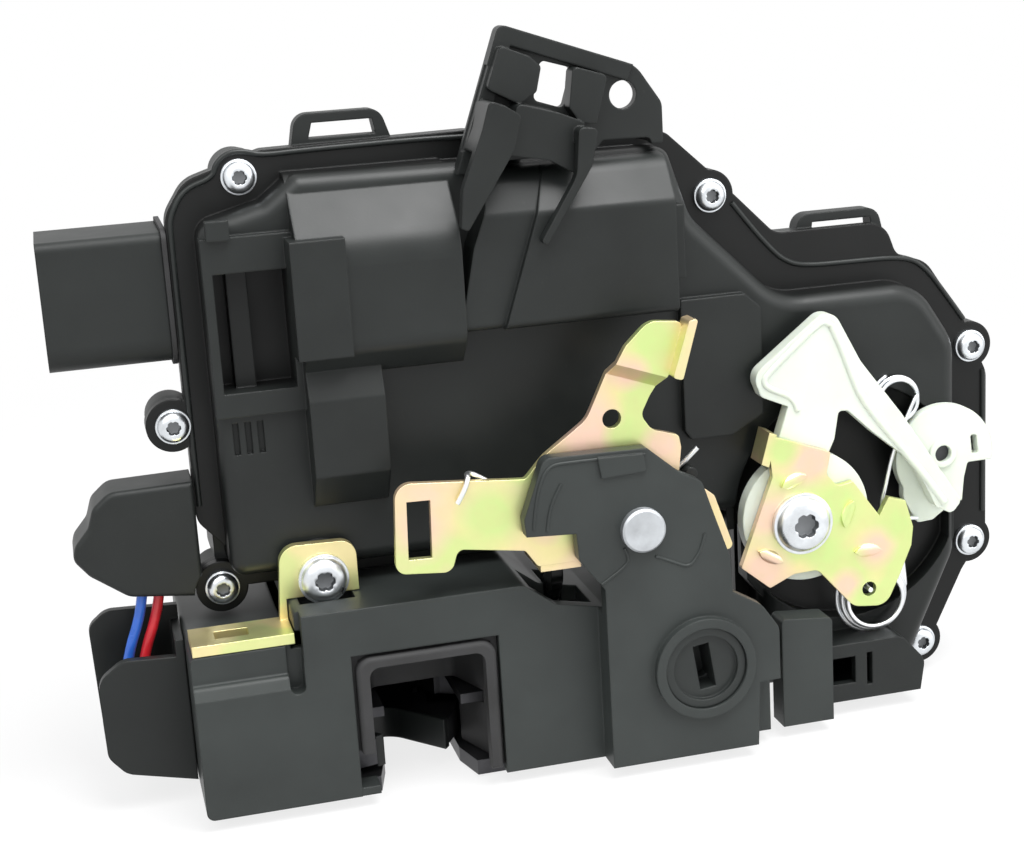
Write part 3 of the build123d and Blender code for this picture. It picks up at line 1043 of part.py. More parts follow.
def inner_spring():
    """Small coil with two long legs that hold the lock levers in their two positions."""
    place = Plane(origin=(INNER_COIL_X, -16.45, INNER_COIL_Z), x_dir=(1, 0, 0), z_dir=(0, -1, 0))
    turns = 2.75
    pitch = 0.85
    spring = coil(place, INNER_COIL_R, turns, pitch, 110.0, 0.4)
    last = coil_point(place, INNER_COIL_R, 110 + 360 * turns, turns * pitch)
    first = coil_point(place, INNER_COIL_R, 110.0, 0)
    spring += wire_bar((first[0], first[1] - 0.2, first[2]), (first[0], FACE_Y, first[2]), 0.4)
    return spring + wire_bar(last, (98.4, -18.95, 45.8), 0.4)


# ---- Key coupling ----
def key_coupling():
    """Cup with a slot for the key rod, turning in the ring of the latch cover."""
    disc = pin_y(KEY_X, KEY_Z, KEY_R, KEY_RING_Y + 0.6, KEY_SEAT_Y)
    disc += pin_y(KEY_X, KEY_Z, KEY_STEM_R, KEY_SEAT_Y - 0.5, KEY_BACK_Y)
    disc -= pin_y(KEY_X, KEY_Z, KEY_R - 1.6, KEY_RING_Y, KEY_RING_Y + 1.6)
    slot = Pos(KEY_X, KEY_RING_Y + 2.5, KEY_Z) * Rot(0, -8, 0) * Box(KEY_SLOT_W, 12, KEY_SLOT_H)
    return disc - slot


# ---- Claw and pawl springs, stop ----
def turning_spring(x, y, r, low, turns, pitch, start_deg, leg, wire=0.5):
    """Coil about a vertical pin with one straight leg at its upper end."""
    place = Plane(origin=(x, y, low), x_dir=(1, 0, 0), z_dir=(0, 0, 1))
    spring = coil(place, r, turns, pitch, start_deg, wire)
    last = coil_point(place, r, start_deg + 360 * turns, turns * pitch)
    return spring + wire_bar(last, (leg[0], leg[1], last[2] + 0.1), wire)


def claw_spring():
    return turning_spring(CLAW_PIVOT[0], CLAW_PIVOT[1], 6.0, 10.9, 1.75, 1.25, 0.0, (-27.6, -4.4))


def pawl_spring():
    return turning_spring(PAWL_X, PAWL_Y, 4.8, 10.9, 1.75, 1.25, 90.0, (27.4, 2.0))


def claw_pin():
    return shouldered_pin(*CLAW_PIVOT, CLAW_PIN_R)


def pawl_pin():
    return shouldered_pin(PAWL_X, PAWL_Y, PAWL_PIN_R)


def claw_bumper():
    """Rubber stop of the open claw."""
    turn = degrees(atan2(BUMPER_R + 0.3, BUMPER_REACH))
    x, y = claw_point(BUMPER_REACH, -48 - turn)
    return pin_z(x, y, BUMPER_R, PLATE_T, BACK_PLATE_Z)


# ---- Pawl lifter: the tongue presses its arm down, its finger draws the pawl's tab back ----


def pawl_lifter():
    arm = side_slab([
        (LIFTER_Y - 2.6, LIFTER_Z - 2.8, 2), (-21.6, 36.0, 3), (-21.6, LIFTER_TOP_Z, 1),
        (-18.4, LIFTER_TOP_Z, 1),
        (-17.8, 37.4, 2), (LIFTER_Y, LIFTER_Z + 6.0, 4), (8.9, 26.2, 2), (11.4, 26.2, 1), (11.4, 21.4, 1),
        (LIFTER_Y + 3.0, LIFTER_Z - 2.6, 2)], LIFTER_LEFT_X, LIFTER_RIGHT_X)
    arm += pin_x(LIFTER_Y, LIFTER_Z, LIFTER_HUB_R, LIFTER_LEFT_X, LIFTER_RIGHT_X)
    arm += block(LIFTER_RIGHT_X - 0.5, PAWL_TAIL_X, PAWL_Y + 2.9, 11.4, 22.0, 25.4)
    return arm - pin_x(LIFTER_Y, LIFTER_Z, LIFTER_PIN_R + PIN_FIT, 0, 60)


def lifter_pin():
    return (pin_x(LIFTER_Y, LIFTER_Z, LIFTER_PIN_R, 22.6, LIFTER_RIGHT_X + 0.1)
            + pin_x(LIFTER_Y, LIFTER_Z, 3.0, LIFTER_RIGHT_X + 0.1, LIFTER_RIGHT_X + 1.4))


def latch_switch():
    """Door-ajar switch on the back wall of the latch cover."""
    body = block(36.5, 49.0, 11.6, LATCH_BACK_Y - LATCH_WALL, 19.0, 25.0)
    return body + block(38.0, 40.4, 10.4, 12.0, 20.5, 23.5)


# ---- Motor, worm, wheel and rack ----


def motor_form(r, flat, left, right):
    can = pin_x(MOTOR_Y, MOTOR_Z, r, left, right)
    return can & block(left - 1, right + 1, MOTOR_Y - flat, MOTOR_Y + flat, 0, 200)


def motor_can():
    can = motor_form(MOTOR_R, MOTOR_FLAT, CAN_LEFT_X, CAN_RIGHT_X)
    can += pin_x(MOTOR_Y, MOTOR_Z, 2.6, CAN_RIGHT_X, CAN_RIGHT_X + 1.5)
    can -= motor_form(MOTOR_R - 1, MOTOR_FLAT - 1, CAN_LEFT_X - 1, CAN_RIGHT_X - 1)
    return can - pin_x(MOTOR_Y, MOTOR_Z, MOTOR_SHAFT_R + PIN_FIT, 0, 20)


def motor_end_cap():
    left = CAN_LEFT_X - MOTOR_CAP_L
    cap = motor_form(MOTOR_R - 0.1, MOTOR_FLAT - 0.1, left, CAN_LEFT_X)
    cap += motor_form(MOTOR_R - 1, MOTOR_FLAT - 1, CAN_LEFT_X, CAN_LEFT_X + 2)
    return cap - pin_x(MOTOR_Y, MOTOR_Z, MOTOR_SHAFT_R + PIN_FIT, left - 1, 0)


def motor_shaft():
    return pin_x(MOTOR_Y, MOTOR_Z, MOTOR_SHAFT_R, CAN_LEFT_X - MOTOR_CAP_L, MOTOR_SHAFT_END_X)


def worm():
    """Right-hand single-start worm; a thread crosses the wheel's middle."""
    pitch = pi * WORM_MODULE
    turns = 2.25
    core = pin_x(MOTOR_Y, MOTOR_Z, WORM_ROOT_R, WORM_LEFT_X, WORM_RIGHT_X)
    path = Helix(pitch=pitch, height=pitch * turns, radius=WORM_ROOT_R + 0.9)
    section = Plane(origin=path @ 0, x_dir=(1, 0, 0), z_dir=path % 0) * Polygon(
        (-1.2, -0.85), (1.35, -0.4), (1.35, 0.4), (-1.2, 0.85), align=None)
    thread = sweep(section, path=path, is_frenet=True)
    # the helix starts on its own X axis; -Z lies three quarters of a turn on from +Y
    start_x = WHEEL_X - pitch * (turns / 2)
    place = Plane(origin=(start_x, MOTOR_Y, MOTOR_Z), x_dir=(0, 0, -1), z_dir=(1, 0, 0))
    turned = place * Rot(0, 0, -360 * (turns / 2)) * thread
    return core + turned - pin_x(MOTOR_Y, MOTOR_Z, MOTOR_SHAFT_R, 0, 60)


def gear_face(teeth, module, tooth_deg, slack=0.12):
    """Spur gear with straight-sided teeth; one tooth points to tooth_deg."""
    r = module * teeth / 2
    step = 360 / teeth
    corners = []
    for tooth in range(teeth):
        middle = tooth_deg + tooth * step
        for radius, half in ((r - 1.2 * module, 1.12 - slack), (r + module, 0.42 - slack / 2)):
            corners.append((radius, middle - degrees(half * module / radius)))
        for radius, half in ((r + module, 0.42 - slack / 2), (r - 1.2 * module, 1.12 - slack)):
            corners.append((radius, middle + degrees(half * module / radius)))
    return make_face(Polyline(*[polar((0, 0), radius, deg) for radius, deg in corners], close=True))


def worm_wheel():
    """Worm wheel and pinion in one piece."""
    place = Pos(WHEEL_X, WHEEL_Z)
    wheel_face = place * gear_face(WHEEL_TEETH, WORM_MODULE, 90 + 180 / WHEEL_TEETH)
    wheel = extrude(front_plane(WHEEL_BACK_Y) * wheel_face, amount=WHEEL_BACK_Y - WHEEL_FRONT_Y)
    pinion_face = place * gear_face(PINION_TEETH, PINION_MODULE, -90)
    wheel += extrude(front_plane(PINION_BACK_Y) * pinion_face, amount=PINION_BACK_Y - WHEEL_BACK_Y)
    return wheel - pin_y(WHEEL_X, WHEEL_Z, AXLE_R + PIN_FIT, -40, 20)


def wheel_axle():
    return pin_y(WHEEL_X, WHEEL_Z, AXLE_R, FACE_Y + COVER_WALL + 0.4, 4.0)


def lock_slide():
    """Rack driven by the pinion; its fork moves the crank's peg."""
    pitch = pi * PINION_MODULE
    root_z = RACK_PITCH_Z - 1.2 * PINION_MODULE
    body = block(SLIDE_LEFT_X, LOCK_X + 5.2, SLIDE_FRONT_Y, SLIDE_BACK_Y, SLIDE_LOW_Z, root_z)
    first = WHEEL_X - 4.5 * pitch
    for step in range(7):
        x = first + pitch * step
        body += front_slab([(x - 0.95, root_z - 0.2), (x - 0.32, RACK_PITCH_Z + 0.95),
                            (x + 0.32, RACK_PITCH_Z + 0.95),
                            (x + 0.95, root_z - 0.2)], SLIDE_FRONT_Y, SLIDE_BACK_Y)
    body += block(LOCK_X - 5.2, LOCK_X + 5.2, SLIDE_FRONT_Y, SLIDE_BACK_Y, SLIDE_LOW_Z, root_z + 3)
    slot = CRANK_PEG_R + 0.15
    return body - block(LOCK_X - slot, LOCK_X + slot, SLIDE_FRONT_Y - 1, SLIDE_BACK_Y + 1, 60, root_z + 1)


def lock_crank():
    peg_z = LOCK_Z + CRANK_R
    crank = pin_y(LOCK_X, LOCK_Z, CRANK_HUB_R, CRANK_FRONT_Y, CRANK_BACK_Y)
    crank += front_slab([(LOCK_X - 4.6, LOCK_Z + 2), (LOCK_X - 4.2, peg_z + 2.4, 3),
                         (LOCK_X + 4.2, peg_z + 2.4, 3),
                         (LOCK_X + 4.6, LOCK_Z + 2)], CRANK_FRONT_Y, CRANK_BACK_Y)
    crank += pin_y(LOCK_X, peg_z, CRANK_PEG_R, SLIDE_FRONT_Y - 0.6, CRANK_BACK_Y)
    return crank - block(LOCK_X - SPINDLE_SQUARE, LOCK_X + SPINDLE_SQUARE, -20, 20,
                         LOCK_Z - SPINDLE_SQUARE, LOCK_Z + SPINDLE_SQUARE)


def lock_switch():
    body = block(*SWITCH_PLACE)
    left, right, front, back, low, high = SWITCH_PLACE
    return body + block(left - 1.6, left + 0.5, front + 1.8, back - 1.8, low + 2, high - 2)


def housing_seal():
    """Rubber band round the joint, inside the rear housing's wall."""
    band = front_slab(body_corners(0.1), PARTING_Y, PARTING_Y + 1.8)
    return band - front_slab(body_corners(1.2), PARTING_Y - 1, PARTING_Y + 3)


def strip_rows():
    rows = sorted({z for _, z in pin_places()})
    return rows[0], rows[2], rows[4]


def lead_frame():
    """Stamped strips from the plug pins to the motor and to the lock switch."""
    low, middle, high = strip_rows()
    strips = []
    for z, end_x in ((low, 76.0), (middle, -4.0), (high, -12.0)):
        strip = block(-32.9, end_x, STRIP_Y, STRIP_BACK_Y, z - 0.9, z + 0.9)
        strips.append(strip + block(-32.9, -32.3, 0.0, STRIP_BACK_Y, z - 0.9, z + 0.9))
    return strips


# ---- Gold bracket at the left, with its screw ----


def fixing_bracket():
    upright = front_slab([
        (-25.4, GOLD_LOW_Z), (-24.2, 49.4, 3.4), (-9.9, 49.0, 3.0),
        (-9.9, LATCH_TOP_Z + SEAT_GAP), (LATCH_STEP_X - 0.2, LATCH_TOP_Z + SEAT_GAP), (LATCH_STEP_X - 0.2,
            GOLD_LOW_Z)],
        BRACKET_BOSS_Y - GOLD_T, BRACKET_BOSS_Y)
    foot = block(-42.4, LATCH_STEP_X - 0.2, -27.5, BRACKET_BOSS_Y, GOLD_LOW_Z, GOLD_LOW_Z + GOLD_T)
    foot -= block(GOLD_SLOT[0], GOLD_SLOT[1], -24.6, -20.6, 0, 60)
    bracket = upright + foot
    return bracket - pin_y(BRACKET_SCREW_X, BRACKET_SCREW_Z, BRACKET_SHANK_R + 0.2, -40, 0)


def bracket_screw():
    """Pan-head screw of the gold bracket."""
    front = BRACKET_BOSS_Y - GOLD_T
    head = pin_y(BRACKET_SCREW_X, BRACKET_SCREW_Z, 4.8, front - 3.0, front)
    head = chamfer(head.faces().sort_by(Axis.Y)[0].edges(), 1.2)
    head -= extrude(front_plane(front - 1.6) * Pos(BRACKET_SCREW_X, BRACKET_SCREW_Z) * RegularPolygon(2.0,
        6), amount=3)
    return head + pin_y(BRACKET_SCREW_X, BRACKET_SCREW_Z, BRACKET_SHANK_R, front, PARTING_Y - 0.5)


# ---- Cable bracket on top, tilted; its hooks hold the end of the inside handle's cable ----


def cable_bracket():
    plate = front_slab([
        (14.2, 115.2, 1), (23.7, 141.4, 1.5), (49.4, 132.2, 6), (54.2, 125.0, 3), (54.2, 117.6, 0.5),
        (52.0, 117.6),
        (51.6, 118.8, 1), (42.5, 119.0, 1), (40.6, 116.8, 1), (17.8, 116.8, 1), (17.2, 115.2, 1)],
        CABLE_FRONT_Y, CABLE_BACK_Y)
    # rim along the top and the left edge, with a groove beside it
    plate += front_slab([
        (14.2, 115.2), (23.7, 141.4, 1.5), (48.6, 132.4), (47.4, 129.6), (25.6, 137.4), (17.6, 115.2)],
        CABLE_FRONT_Y - CABLE_RIM, CABLE_FRONT_Y + 0.5)
    plate -= front_slab([(15.9, 119.2), (21.4, 134.2), (20.2, 134.6), (14.7, 119.6)], -40,
                        CABLE_FRONT_Y + 1.0)
    plate -= front_slab([(31.3, 134.4, 1), (37.5, 132.5, 1), (35.2, 125.4, 1), (29.6, 127.3, 1)], -40, 0)
    plate -= pin_y(*CABLE_HOLE, CABLE_HOLE_R, -40, 0)
    # jaws in front of the window
    jaw = CABLE_FRONT_Y - JAW_REACH
    plate += front_slab([(23.1, 137.7, 1), (28.5, 135.4, 1), (30.5, 133.5, 1), (29.4, 129.0, 1),
                         (26.2, 127.0),
                         (20.3, 130.2, 1)], jaw, CABLE_FRONT_Y + 0.5)
    plate += front_slab([(36.4, 133.1, 1), (42.9, 131.0, 1), (41.8, 127.0, 2), (40.4, 122.4), (37.3, 122.8),
                         (35.4, 125.7)], jaw, CABLE_FRONT_Y + 0.5)
    # saddle between the two legs, arched below
    plate += front_slab([(22.4, 119.4), (25.2, 127.4, 1), (33.0, 125.1, 1), (37.4, 123.2), (36.6, 119.0)],
                        SADDLE_FRONT_Y, CABLE_FRONT_Y + 0.3)
    plate += front_slab([(22.0, 118.5), (23.0, 121.0), (36.6, 121.0), (35.7, 113.7, 0.8), (30.6, 116.8, 4)],
                        SADDLE_FRONT_Y, SADDLE_BACK_Y)
    # tapered legs that run down in front of the gear housing
    left_leg = [(19.2, 128.6, 1), (22.0, 127.5, 1), (25.0, 125.5, 1), (23.2, 119.4, 1), (14.0, 105.9, 0.5),
                (12.7, 106.4, 0.5), (13.4, 113.2, 4), (17.6, 123.5, 4)]
    right_leg = [(35.4, 122.6, 1), (39.1, 122.2, 1), (37.5, 115.5, 4), (28.3, 101.8, 0.5),
                 (27.4, 102.8, 0.5),
                 (34.6, 114.0, 6)]
    for leg in (left_leg, right_leg):
        plate += front_slab(leg, LEG_FRONT_Y, LEG_BACK_Y)
        plate += front_slab(leg, LEG_BACK_Y - 0.5, CABLE_FRONT_Y + 0.3) & block(0, 60, -40, 0, 119.6, 140)
    # feet behind the plate, on the flange of the front cover
    for left, right, low, high in ((20.0, 28.0, 118.0, 120.2), (36.5, 41.5, 117.9, 119.4),
                                   (52.2, 54.2, 117.8, 119.0)):
        plate += block(left, right, CABLE_BACK_Y - 0.5, FLANGE_Y, low, high)
    return plate


# ---- Wires with their cover and guide at the left ----


def wire_outlet_cover():
    """Moulded hood that the wires leave, open at its lower end."""
    corners = [(-38.2, 61.8), (-53.7, 61.6, 3.5), (-56.9, 58.9, 3), (-58.1, 55.2, 3), (-60.8, 52.1, 3),
               (-61.5, 49.5, 2.5),
               (-58.8, 46.0, 4), (-52.0, 41.0, 4), (-38.2, 39.3)]
    inner = [(-40.6, 59.9), (-53.0, 59.7, 2), (-55.4, 57.6, 1), (-56.4, 54.4, 1), (-59.2, 51.4, 1),
             (-59.6, 49.6, 1),
             (-57.4, 47.2, 1), (-51.8, 43.0), (-50.6, 36.0), (-40.6, 36.0)]
    hood = front_slab(corners, OUTLET_FRONT_Y, OUTLET_BACK_Y)
    hood = fillet(hood.faces().sort_by(Axis.Y)[0].edges(), 1.0)
    hood -= front_slab(inner, OUTLET_FRONT_Y + FLAP_T, OUTLET_BACK_Y - FLAP_T)
    hood -= pin_y(*SCREW_PLACES[5], EAR_R + 0.5, -50, 50)
    return hood - block(LEFT_X - 0.1, 0, -50, 50, 0, 200)


def wire_guide():
    """Channel beside the latch cover that leads the wires down."""
    right = GUIDE_RIGHT_X
    wall = block(right - 1.6, right, GUIDE_FRONT_Y, GUIDE_BACK_Y, 5.0, 32.6)
    front = front_slab([(right, 29.2), (-54.8, 29.8, 4), (-59.6, 26.4, 4), (-59.4, 11.0, 4),
                        (-56.4, 7.4, 3), (right, 4.0)],
                       GUIDE_FRONT_Y, GUIDE_FRONT_Y + FLAP_T)
    back = front_slab([(right, 35.4), (-56.8, 36.0, 4), (-60.3, 33.2, 3), (-59.6, 11.0, 3), (-56.0, 7.2, 3),
                       (right, 4.0)],
                      GUIDE_BACK_Y - FLAP_T, GUIDE_BACK_Y)
    low = front_slab([(right, 4.0), (right, 6.0), (-55.4, 9.0, 2.4), (-57.8, 11.8, 2), (-58.0, 18.5),
                      (-59.6, 18.5),
                      (-59.4, 11.0, 3), (-56.0, 7.2, 3)], GUIDE_FRONT_Y, GUIDE_BACK_Y)
    return wall + front + back + low


def wire(points, bend):
    """Insulated wire along straight runs joined by arcs, held at both ends."""
    path = FilletPolyline(*points, radius=bend)
    return sweep(Plane(origin=path @ 0, z_dir=path % 0) * RegularPolygon(WIRE_D / 2, 8), path=path)


def blue_wire():
    return wire([(WIRE_START_X, -7.0, 55.4), (-49.4, -7.0, 55.4), (-49.0, -7.4, 39.0), (-54.6, -8.0, 26.0),
                 (-54.6, -8.0, 10.6), (WIRE_END_X, -8.0, 10.6)], 3.0)


def red_wire():
    return wire([(WIRE_START_X, -6.8, 51.0), (-46.0, -6.8, 51.0), (-46.0, -7.2, 38.6), (-51.4, -7.8, 26.0),
                 (-51.4, -7.8, 14.0), (WIRE_END_X, -7.8, 14.0)], 3.0)


# ---- One file for each sub-part ----
os.makedirs("parts", exist_ok=True)
write("front_cover", front_cover())
write("rear_housing", rear_housing())
write("housing_seal", housing_seal())
write("cover_screws", *cover_screws())
write("connector_shroud", connector_shroud())
write("connector_pins", *connector_pins())
write("connector_seal", connector_seal())
write("lead_frame", *lead_frame())
write("latch_cover", latch_cover())
write("striker_liner", striker_liner())
write("latch_plate", latch_plate())
write("latch_back_plate", latch_back_plate())
write("claw", claw())
write("claw_sleeve", claw_sleeve())
write("claw_pin", claw_pin())
write("claw_spring", claw_spring())
write("claw_bumper", claw_bumper())
write("pawl", pawl())
write("pawl_pin", pawl_pin())
write("pawl_spring", pawl_spring())
write("pawl_lifter", pawl_lifter())
write("lifter_pin", lifter_pin())
write("latch_switch", latch_switch())
write("release_lever", release_lever())
write("release_pin", release_pin())
write("release_spring", release_spring())
write("key_coupling", key_coupling())
write("lock_arm", lock_arm())
write("lock_plate", lock_plate())
write("lock_screw", lock_screw())
write("lock_spring", lock_spring())
write("inner_lever", inner_lever())
write("inner_stud", inner_stud())
write("inner_spring", inner_spring())
write("motor_can", motor_can())
write("motor_end_cap", motor_end_cap())
write("motor_shaft", motor_shaft())
write("worm", worm())
write("worm_wheel", worm_wheel())
write("wheel_axle", wheel_axle())
write("lock_slide", lock_slide())
write("lock_crank", lock_crank())
write("lock_switch", lock_switch())
write("fixing_bracket", fixing_bracket())
write("bracket_screw", bracket_screw())
write("cable_bracket", cable_bracket())
write("wire_outlet_cover", wire_outlet_cover())
write("wire_guide", wire_guide())
write("blue_wire", blue_wire())
write("red_wire", red_wire())
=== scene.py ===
import math

import bmesh
import bpy
from mathutils import Matrix, Vector


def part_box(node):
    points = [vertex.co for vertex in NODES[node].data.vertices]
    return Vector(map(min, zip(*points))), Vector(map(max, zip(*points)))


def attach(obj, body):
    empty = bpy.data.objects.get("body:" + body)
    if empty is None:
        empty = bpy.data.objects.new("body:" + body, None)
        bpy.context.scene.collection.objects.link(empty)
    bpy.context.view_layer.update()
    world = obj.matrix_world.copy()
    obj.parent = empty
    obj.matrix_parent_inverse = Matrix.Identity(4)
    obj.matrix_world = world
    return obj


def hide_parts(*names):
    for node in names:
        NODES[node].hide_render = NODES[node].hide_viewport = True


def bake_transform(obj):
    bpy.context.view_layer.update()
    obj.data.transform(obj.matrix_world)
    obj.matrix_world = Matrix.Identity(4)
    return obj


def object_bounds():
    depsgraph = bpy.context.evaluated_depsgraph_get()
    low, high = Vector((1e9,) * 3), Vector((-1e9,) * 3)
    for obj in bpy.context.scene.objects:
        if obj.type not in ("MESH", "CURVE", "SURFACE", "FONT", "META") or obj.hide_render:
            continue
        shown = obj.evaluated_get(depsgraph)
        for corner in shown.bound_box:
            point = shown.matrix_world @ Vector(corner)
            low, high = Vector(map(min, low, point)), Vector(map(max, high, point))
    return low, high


bl_info = {
    "name": "Door latch actuator finish",
    "version": (1, 0, 0),
    "blender": (4, 5, 0),
    "location": "View3D > Sidebar > Door latch",
    "description": "Finishes and fine pieces of a vehicle door latch actuator, built on its packed frame",
    "category": "Object",
}

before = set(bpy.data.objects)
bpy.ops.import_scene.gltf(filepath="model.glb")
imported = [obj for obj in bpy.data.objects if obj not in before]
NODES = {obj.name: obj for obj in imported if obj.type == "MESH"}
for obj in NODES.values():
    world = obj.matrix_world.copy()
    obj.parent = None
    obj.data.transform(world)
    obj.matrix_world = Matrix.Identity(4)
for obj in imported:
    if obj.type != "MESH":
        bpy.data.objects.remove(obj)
CAD_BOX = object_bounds()
MM = 0.001

# Camera: place in metres, turns in degrees, lens and sensor in millimetres.
CAMERA_PLACE = Vector((-0.05672, -0.34839, 0.15390))
CAMERA_YAW = 13.4
CAMERA_DOWN = 14.3
CAMERA_ROLL = -3.55
CAMERA_LENS = 65.04
SENSOR = 36.0

# Lamps: steps from the middle of the actuator, and sides of the lit squares, in metres.
KEY_STEP, KEY_SIZE = Vector((-0.45, -0.55, 0.60)), 0.55
FILL_STEP, FILL_SIZE = Vector((0.65, -0.45, 0.25)), 0.60
TOP_STEP, TOP_SIZE = Vector((0.16, -0.26, 0.74)), 0.50

# Floor: gap under the actuator, and distances where its shadow starts to fade and has faded, in metres.
FLOOR_GAP = 0.0005
FADE_START, FADE_END = 0.10, 0.45
FADE_LEAST = 0.80

# Colours.
WHITE = (1.0, 1.0, 1.0)
FLOOR_GREY = (0.9, 0.9, 0.9)
ROOM_COLOUR = (0.95, 0.97, 1.0)
DUST = (0.10, 0.10, 0.10)
# Near-black painted shade for the deep faces of the front cover.
PAINTED_SHADE_BLACK = (0.0015, 0.0016, 0.0016)
ROSE = (0.90, 0.62, 0.50)                  # pink clouds of the yellow chromate
LEAF = (0.62, 0.78, 0.30)                  # green clouds of the yellow chromate
PHOSPHATE = (0.035, 0.035, 0.038), (0.085, 0.085, 0.090)
RUBBER = (0.012, 0.012, 0.012), (0.025, 0.025, 0.026)
BRASS = (0.62, 0.45, 0.18), (0.78, 0.60, 0.28)
BLUE = (0.03, 0.14, 0.62)
RED = (0.62, 0.02, 0.03)

# Broad tints of the plating on two levers: X, Z and reach in millimetres, then the colour.
RELEASE_TINTS = (
    (0.0, 53.0, 7.0, ROSE), (13.5, 54.0, 7.0, LEAF), (24.0, 51.0, 4.0, ROSE), (33.0, 69.0, 7.0, ROSE),
    (47.0, 64.0, 5.0, ROSE), (39.5, 66.5, 4.0, LEAF), (45.0, 84.0, 6.0, LEAF), (41.0, 78.0, 4.0, ROSE),
)
PLATE_TINTS = (
    (79.5, 53.5, 6.0, ROSE), (71.0, 44.0, 7.0, ROSE), (70.0, 34.0, 6.0, ROSE), (85.0, 44.0, 8.0, LEAF),
    (82.0, 35.5, 5.0, LEAF), (93.5, 34.5, 5.0, ROSE), (98.5, 38.5, 4.0, LEAF), (87.0, 27.5, 4.0, ROSE),
    (91.0, 24.0, 4.0, LEAF), (74.0, 57.0, 4.0, LEAF),
)
# Shares of a tint's reach where it starts to fade and has faded, and its strength in the middle.
TINT_START, TINT_END, TINT_STRENGTH = 0.9, 1.6, 0.9
# The front cover's faces go over to near-black painted shade between these places along Y, in millimetres.
COVER_SHADE_DEPTHS = (-15.6, -12.5)

# Cover screws: X and Z of each, and their sizes, in millimetres.
COVER_SCREWS = (
    (-24.0, 117.0), (66.5, 105.5), (122.0, 69.5), (122.0, 27.5), (110.5, 6.5), (-34.5, 39.5), (-40.5, 72.0),
)
COVER_HEAD_R, COVER_HEAD_H = 3.3, 2.4
COVER_SOCKET_R, COVER_SHANK_R = 1.35, 1.3
COVER_SOCKET_REACH = 1.45                  # faces this near to the axis may belong to the socket
SCREW_TURN = 17                            # degrees from one cover screw's socket to the next
# Large screws: piece, node, body, head height and socket radius in millimetres, shank as a share of the head.
LARGE_SCREWS = (
    ("bracket_screw_head", "bracket_screw", "housing", 3.0, 1.9, 0.52),
    ("lock_screw_head", "lock_screw", "lock_lever", 2.8, 2.5, 0.32),
)
# Head of a screw: the straight rim as a share of the height, the inset above it as a share of the radius,
# the rise and the narrowing of each step of the dome, and the depth of the socket as a share of the height.
RIM_SHARE = 0.38
RIM_INSET = 0.10
DOME_STEPS = ((0.26, 0.95), (0.22, 0.86), (0.12, 0.72))
SOCKET_DEPTH = 0.55
# A socket's faces, which get painted shade, lie within this share of its radius, and behind this share of the
# head's height.
SOCKET_REACH = 1.05
SOCKET_FRONT = 0.95
# Between the lobes the socket's ring is drawn in: below the first value of the wave, by the second.
LOBE_DRAWS = ((-0.25, 0.90), (-0.75, 0.92))
SHANK_TIP = 0.07                           # share of the shank that is its tapered tip

# Wires: routes, in millimetres, and radius.
BLUE_ROUTE = (
    (-40.65, -7.0, 55.4), (-45.0, -7.0, 55.4), (-49.2, -7.1, 54.6), (-49.0, -7.4, 39.0), (-54.6, -8.0, 26.0),
    (-54.6, -8.0, 12.0), (-53.0, -8.0, 10.6), (-44.85, -8.0, 10.6),
)
RED_ROUTE = (
    (-40.65, -6.8, 51.0), (-43.0, -6.8, 51.0), (-46.0, -6.9, 50.0), (-46.0, -7.2, 38.6), (-51.4, -7.8, 26.0),
    (-51.4, -7.8, 15.4), (-49.8, -7.8, 14.0), (-44.85, -7.8, 14.0),
)
WIRE_R = 1.0

# Springs: radius of the wire in millimetres, and points of a coil for each turn.
LEVER_WIRE_R = 0.5
INNER_WIRE_R = 0.4
COIL_STEPS = 20
# Two springs go over to their lever between these two places, in millimetres.
RELEASE_HOLD = ((36.0, -28.0, 53.0), (12.0, -30.0, 61.6))
LOCK_HOLD = ((92.0, -21.1, 26.0), (92.0, -22.1, 26.0))

# Ridges on the front face of the arm that carries the release lever's pin: X and Z in millimetres.
ARM_FRONT = -35.8
ARM_RIDGE_R = 0.3
ARM_RIDGES = (
    ("arm_arc_ridge", ((26.2, 59.4), (24.6, 56.9), (23.5, 53.8), (23.1, 50.9))),
    ("arm_rim_ridge", ((20.6, 51.5), (20.9, 54.5), (22.0, 59.5), (23.9, 63.2), (28.0, 63.4), (42.4, 63.1))),
    ("arm_left_ridge", ((33.0, 39.2), (35.0, 40.4), (37.2, 41.8), (38.7, 43.4), (37.6, 45.6))),
    ("arm_right_ridge", ((53.4, 46.3), (52.8, 43.9), (51.5, 41.6), (49.9, 40.2), (47.3, 41.5), (43.6, 43.2))),
)
# Lip along the edge of the front cover's flange: X and Z in millimetres.
FLANGE_FRONT = -8.0
FLANGE_LIP_R = 0.55
FLANGE_LIPS = (
    ("rim_lip_left", (
        (-37.2, 56.0), (-37.2, 80.0), (-37.2, 107.5), (-37.0, 110.8), (-34.2, 115.6), (-28.6, 117.2),
        (-28.0, 119.6), (-25.6, 121.5), (-22.4, 121.5), (-19.6, 120.5), (-12.0, 120.8), (18.0, 121.1),
        (34.0, 120.1))),
    ("rim_lip_right", (
        (71.2, 103.6), (73.6, 100.4), (77.6, 95.4), (81.6, 91.2), (86.0, 89.6), (96.0, 89.5), (107.5, 89.4),
        (112.0, 87.2), (117.0, 80.6), (120.8, 75.2))),
    ("rim_lip_edge", ((125.2, 64.0), (125.2, 50.0), (125.2, 33.4))),
)
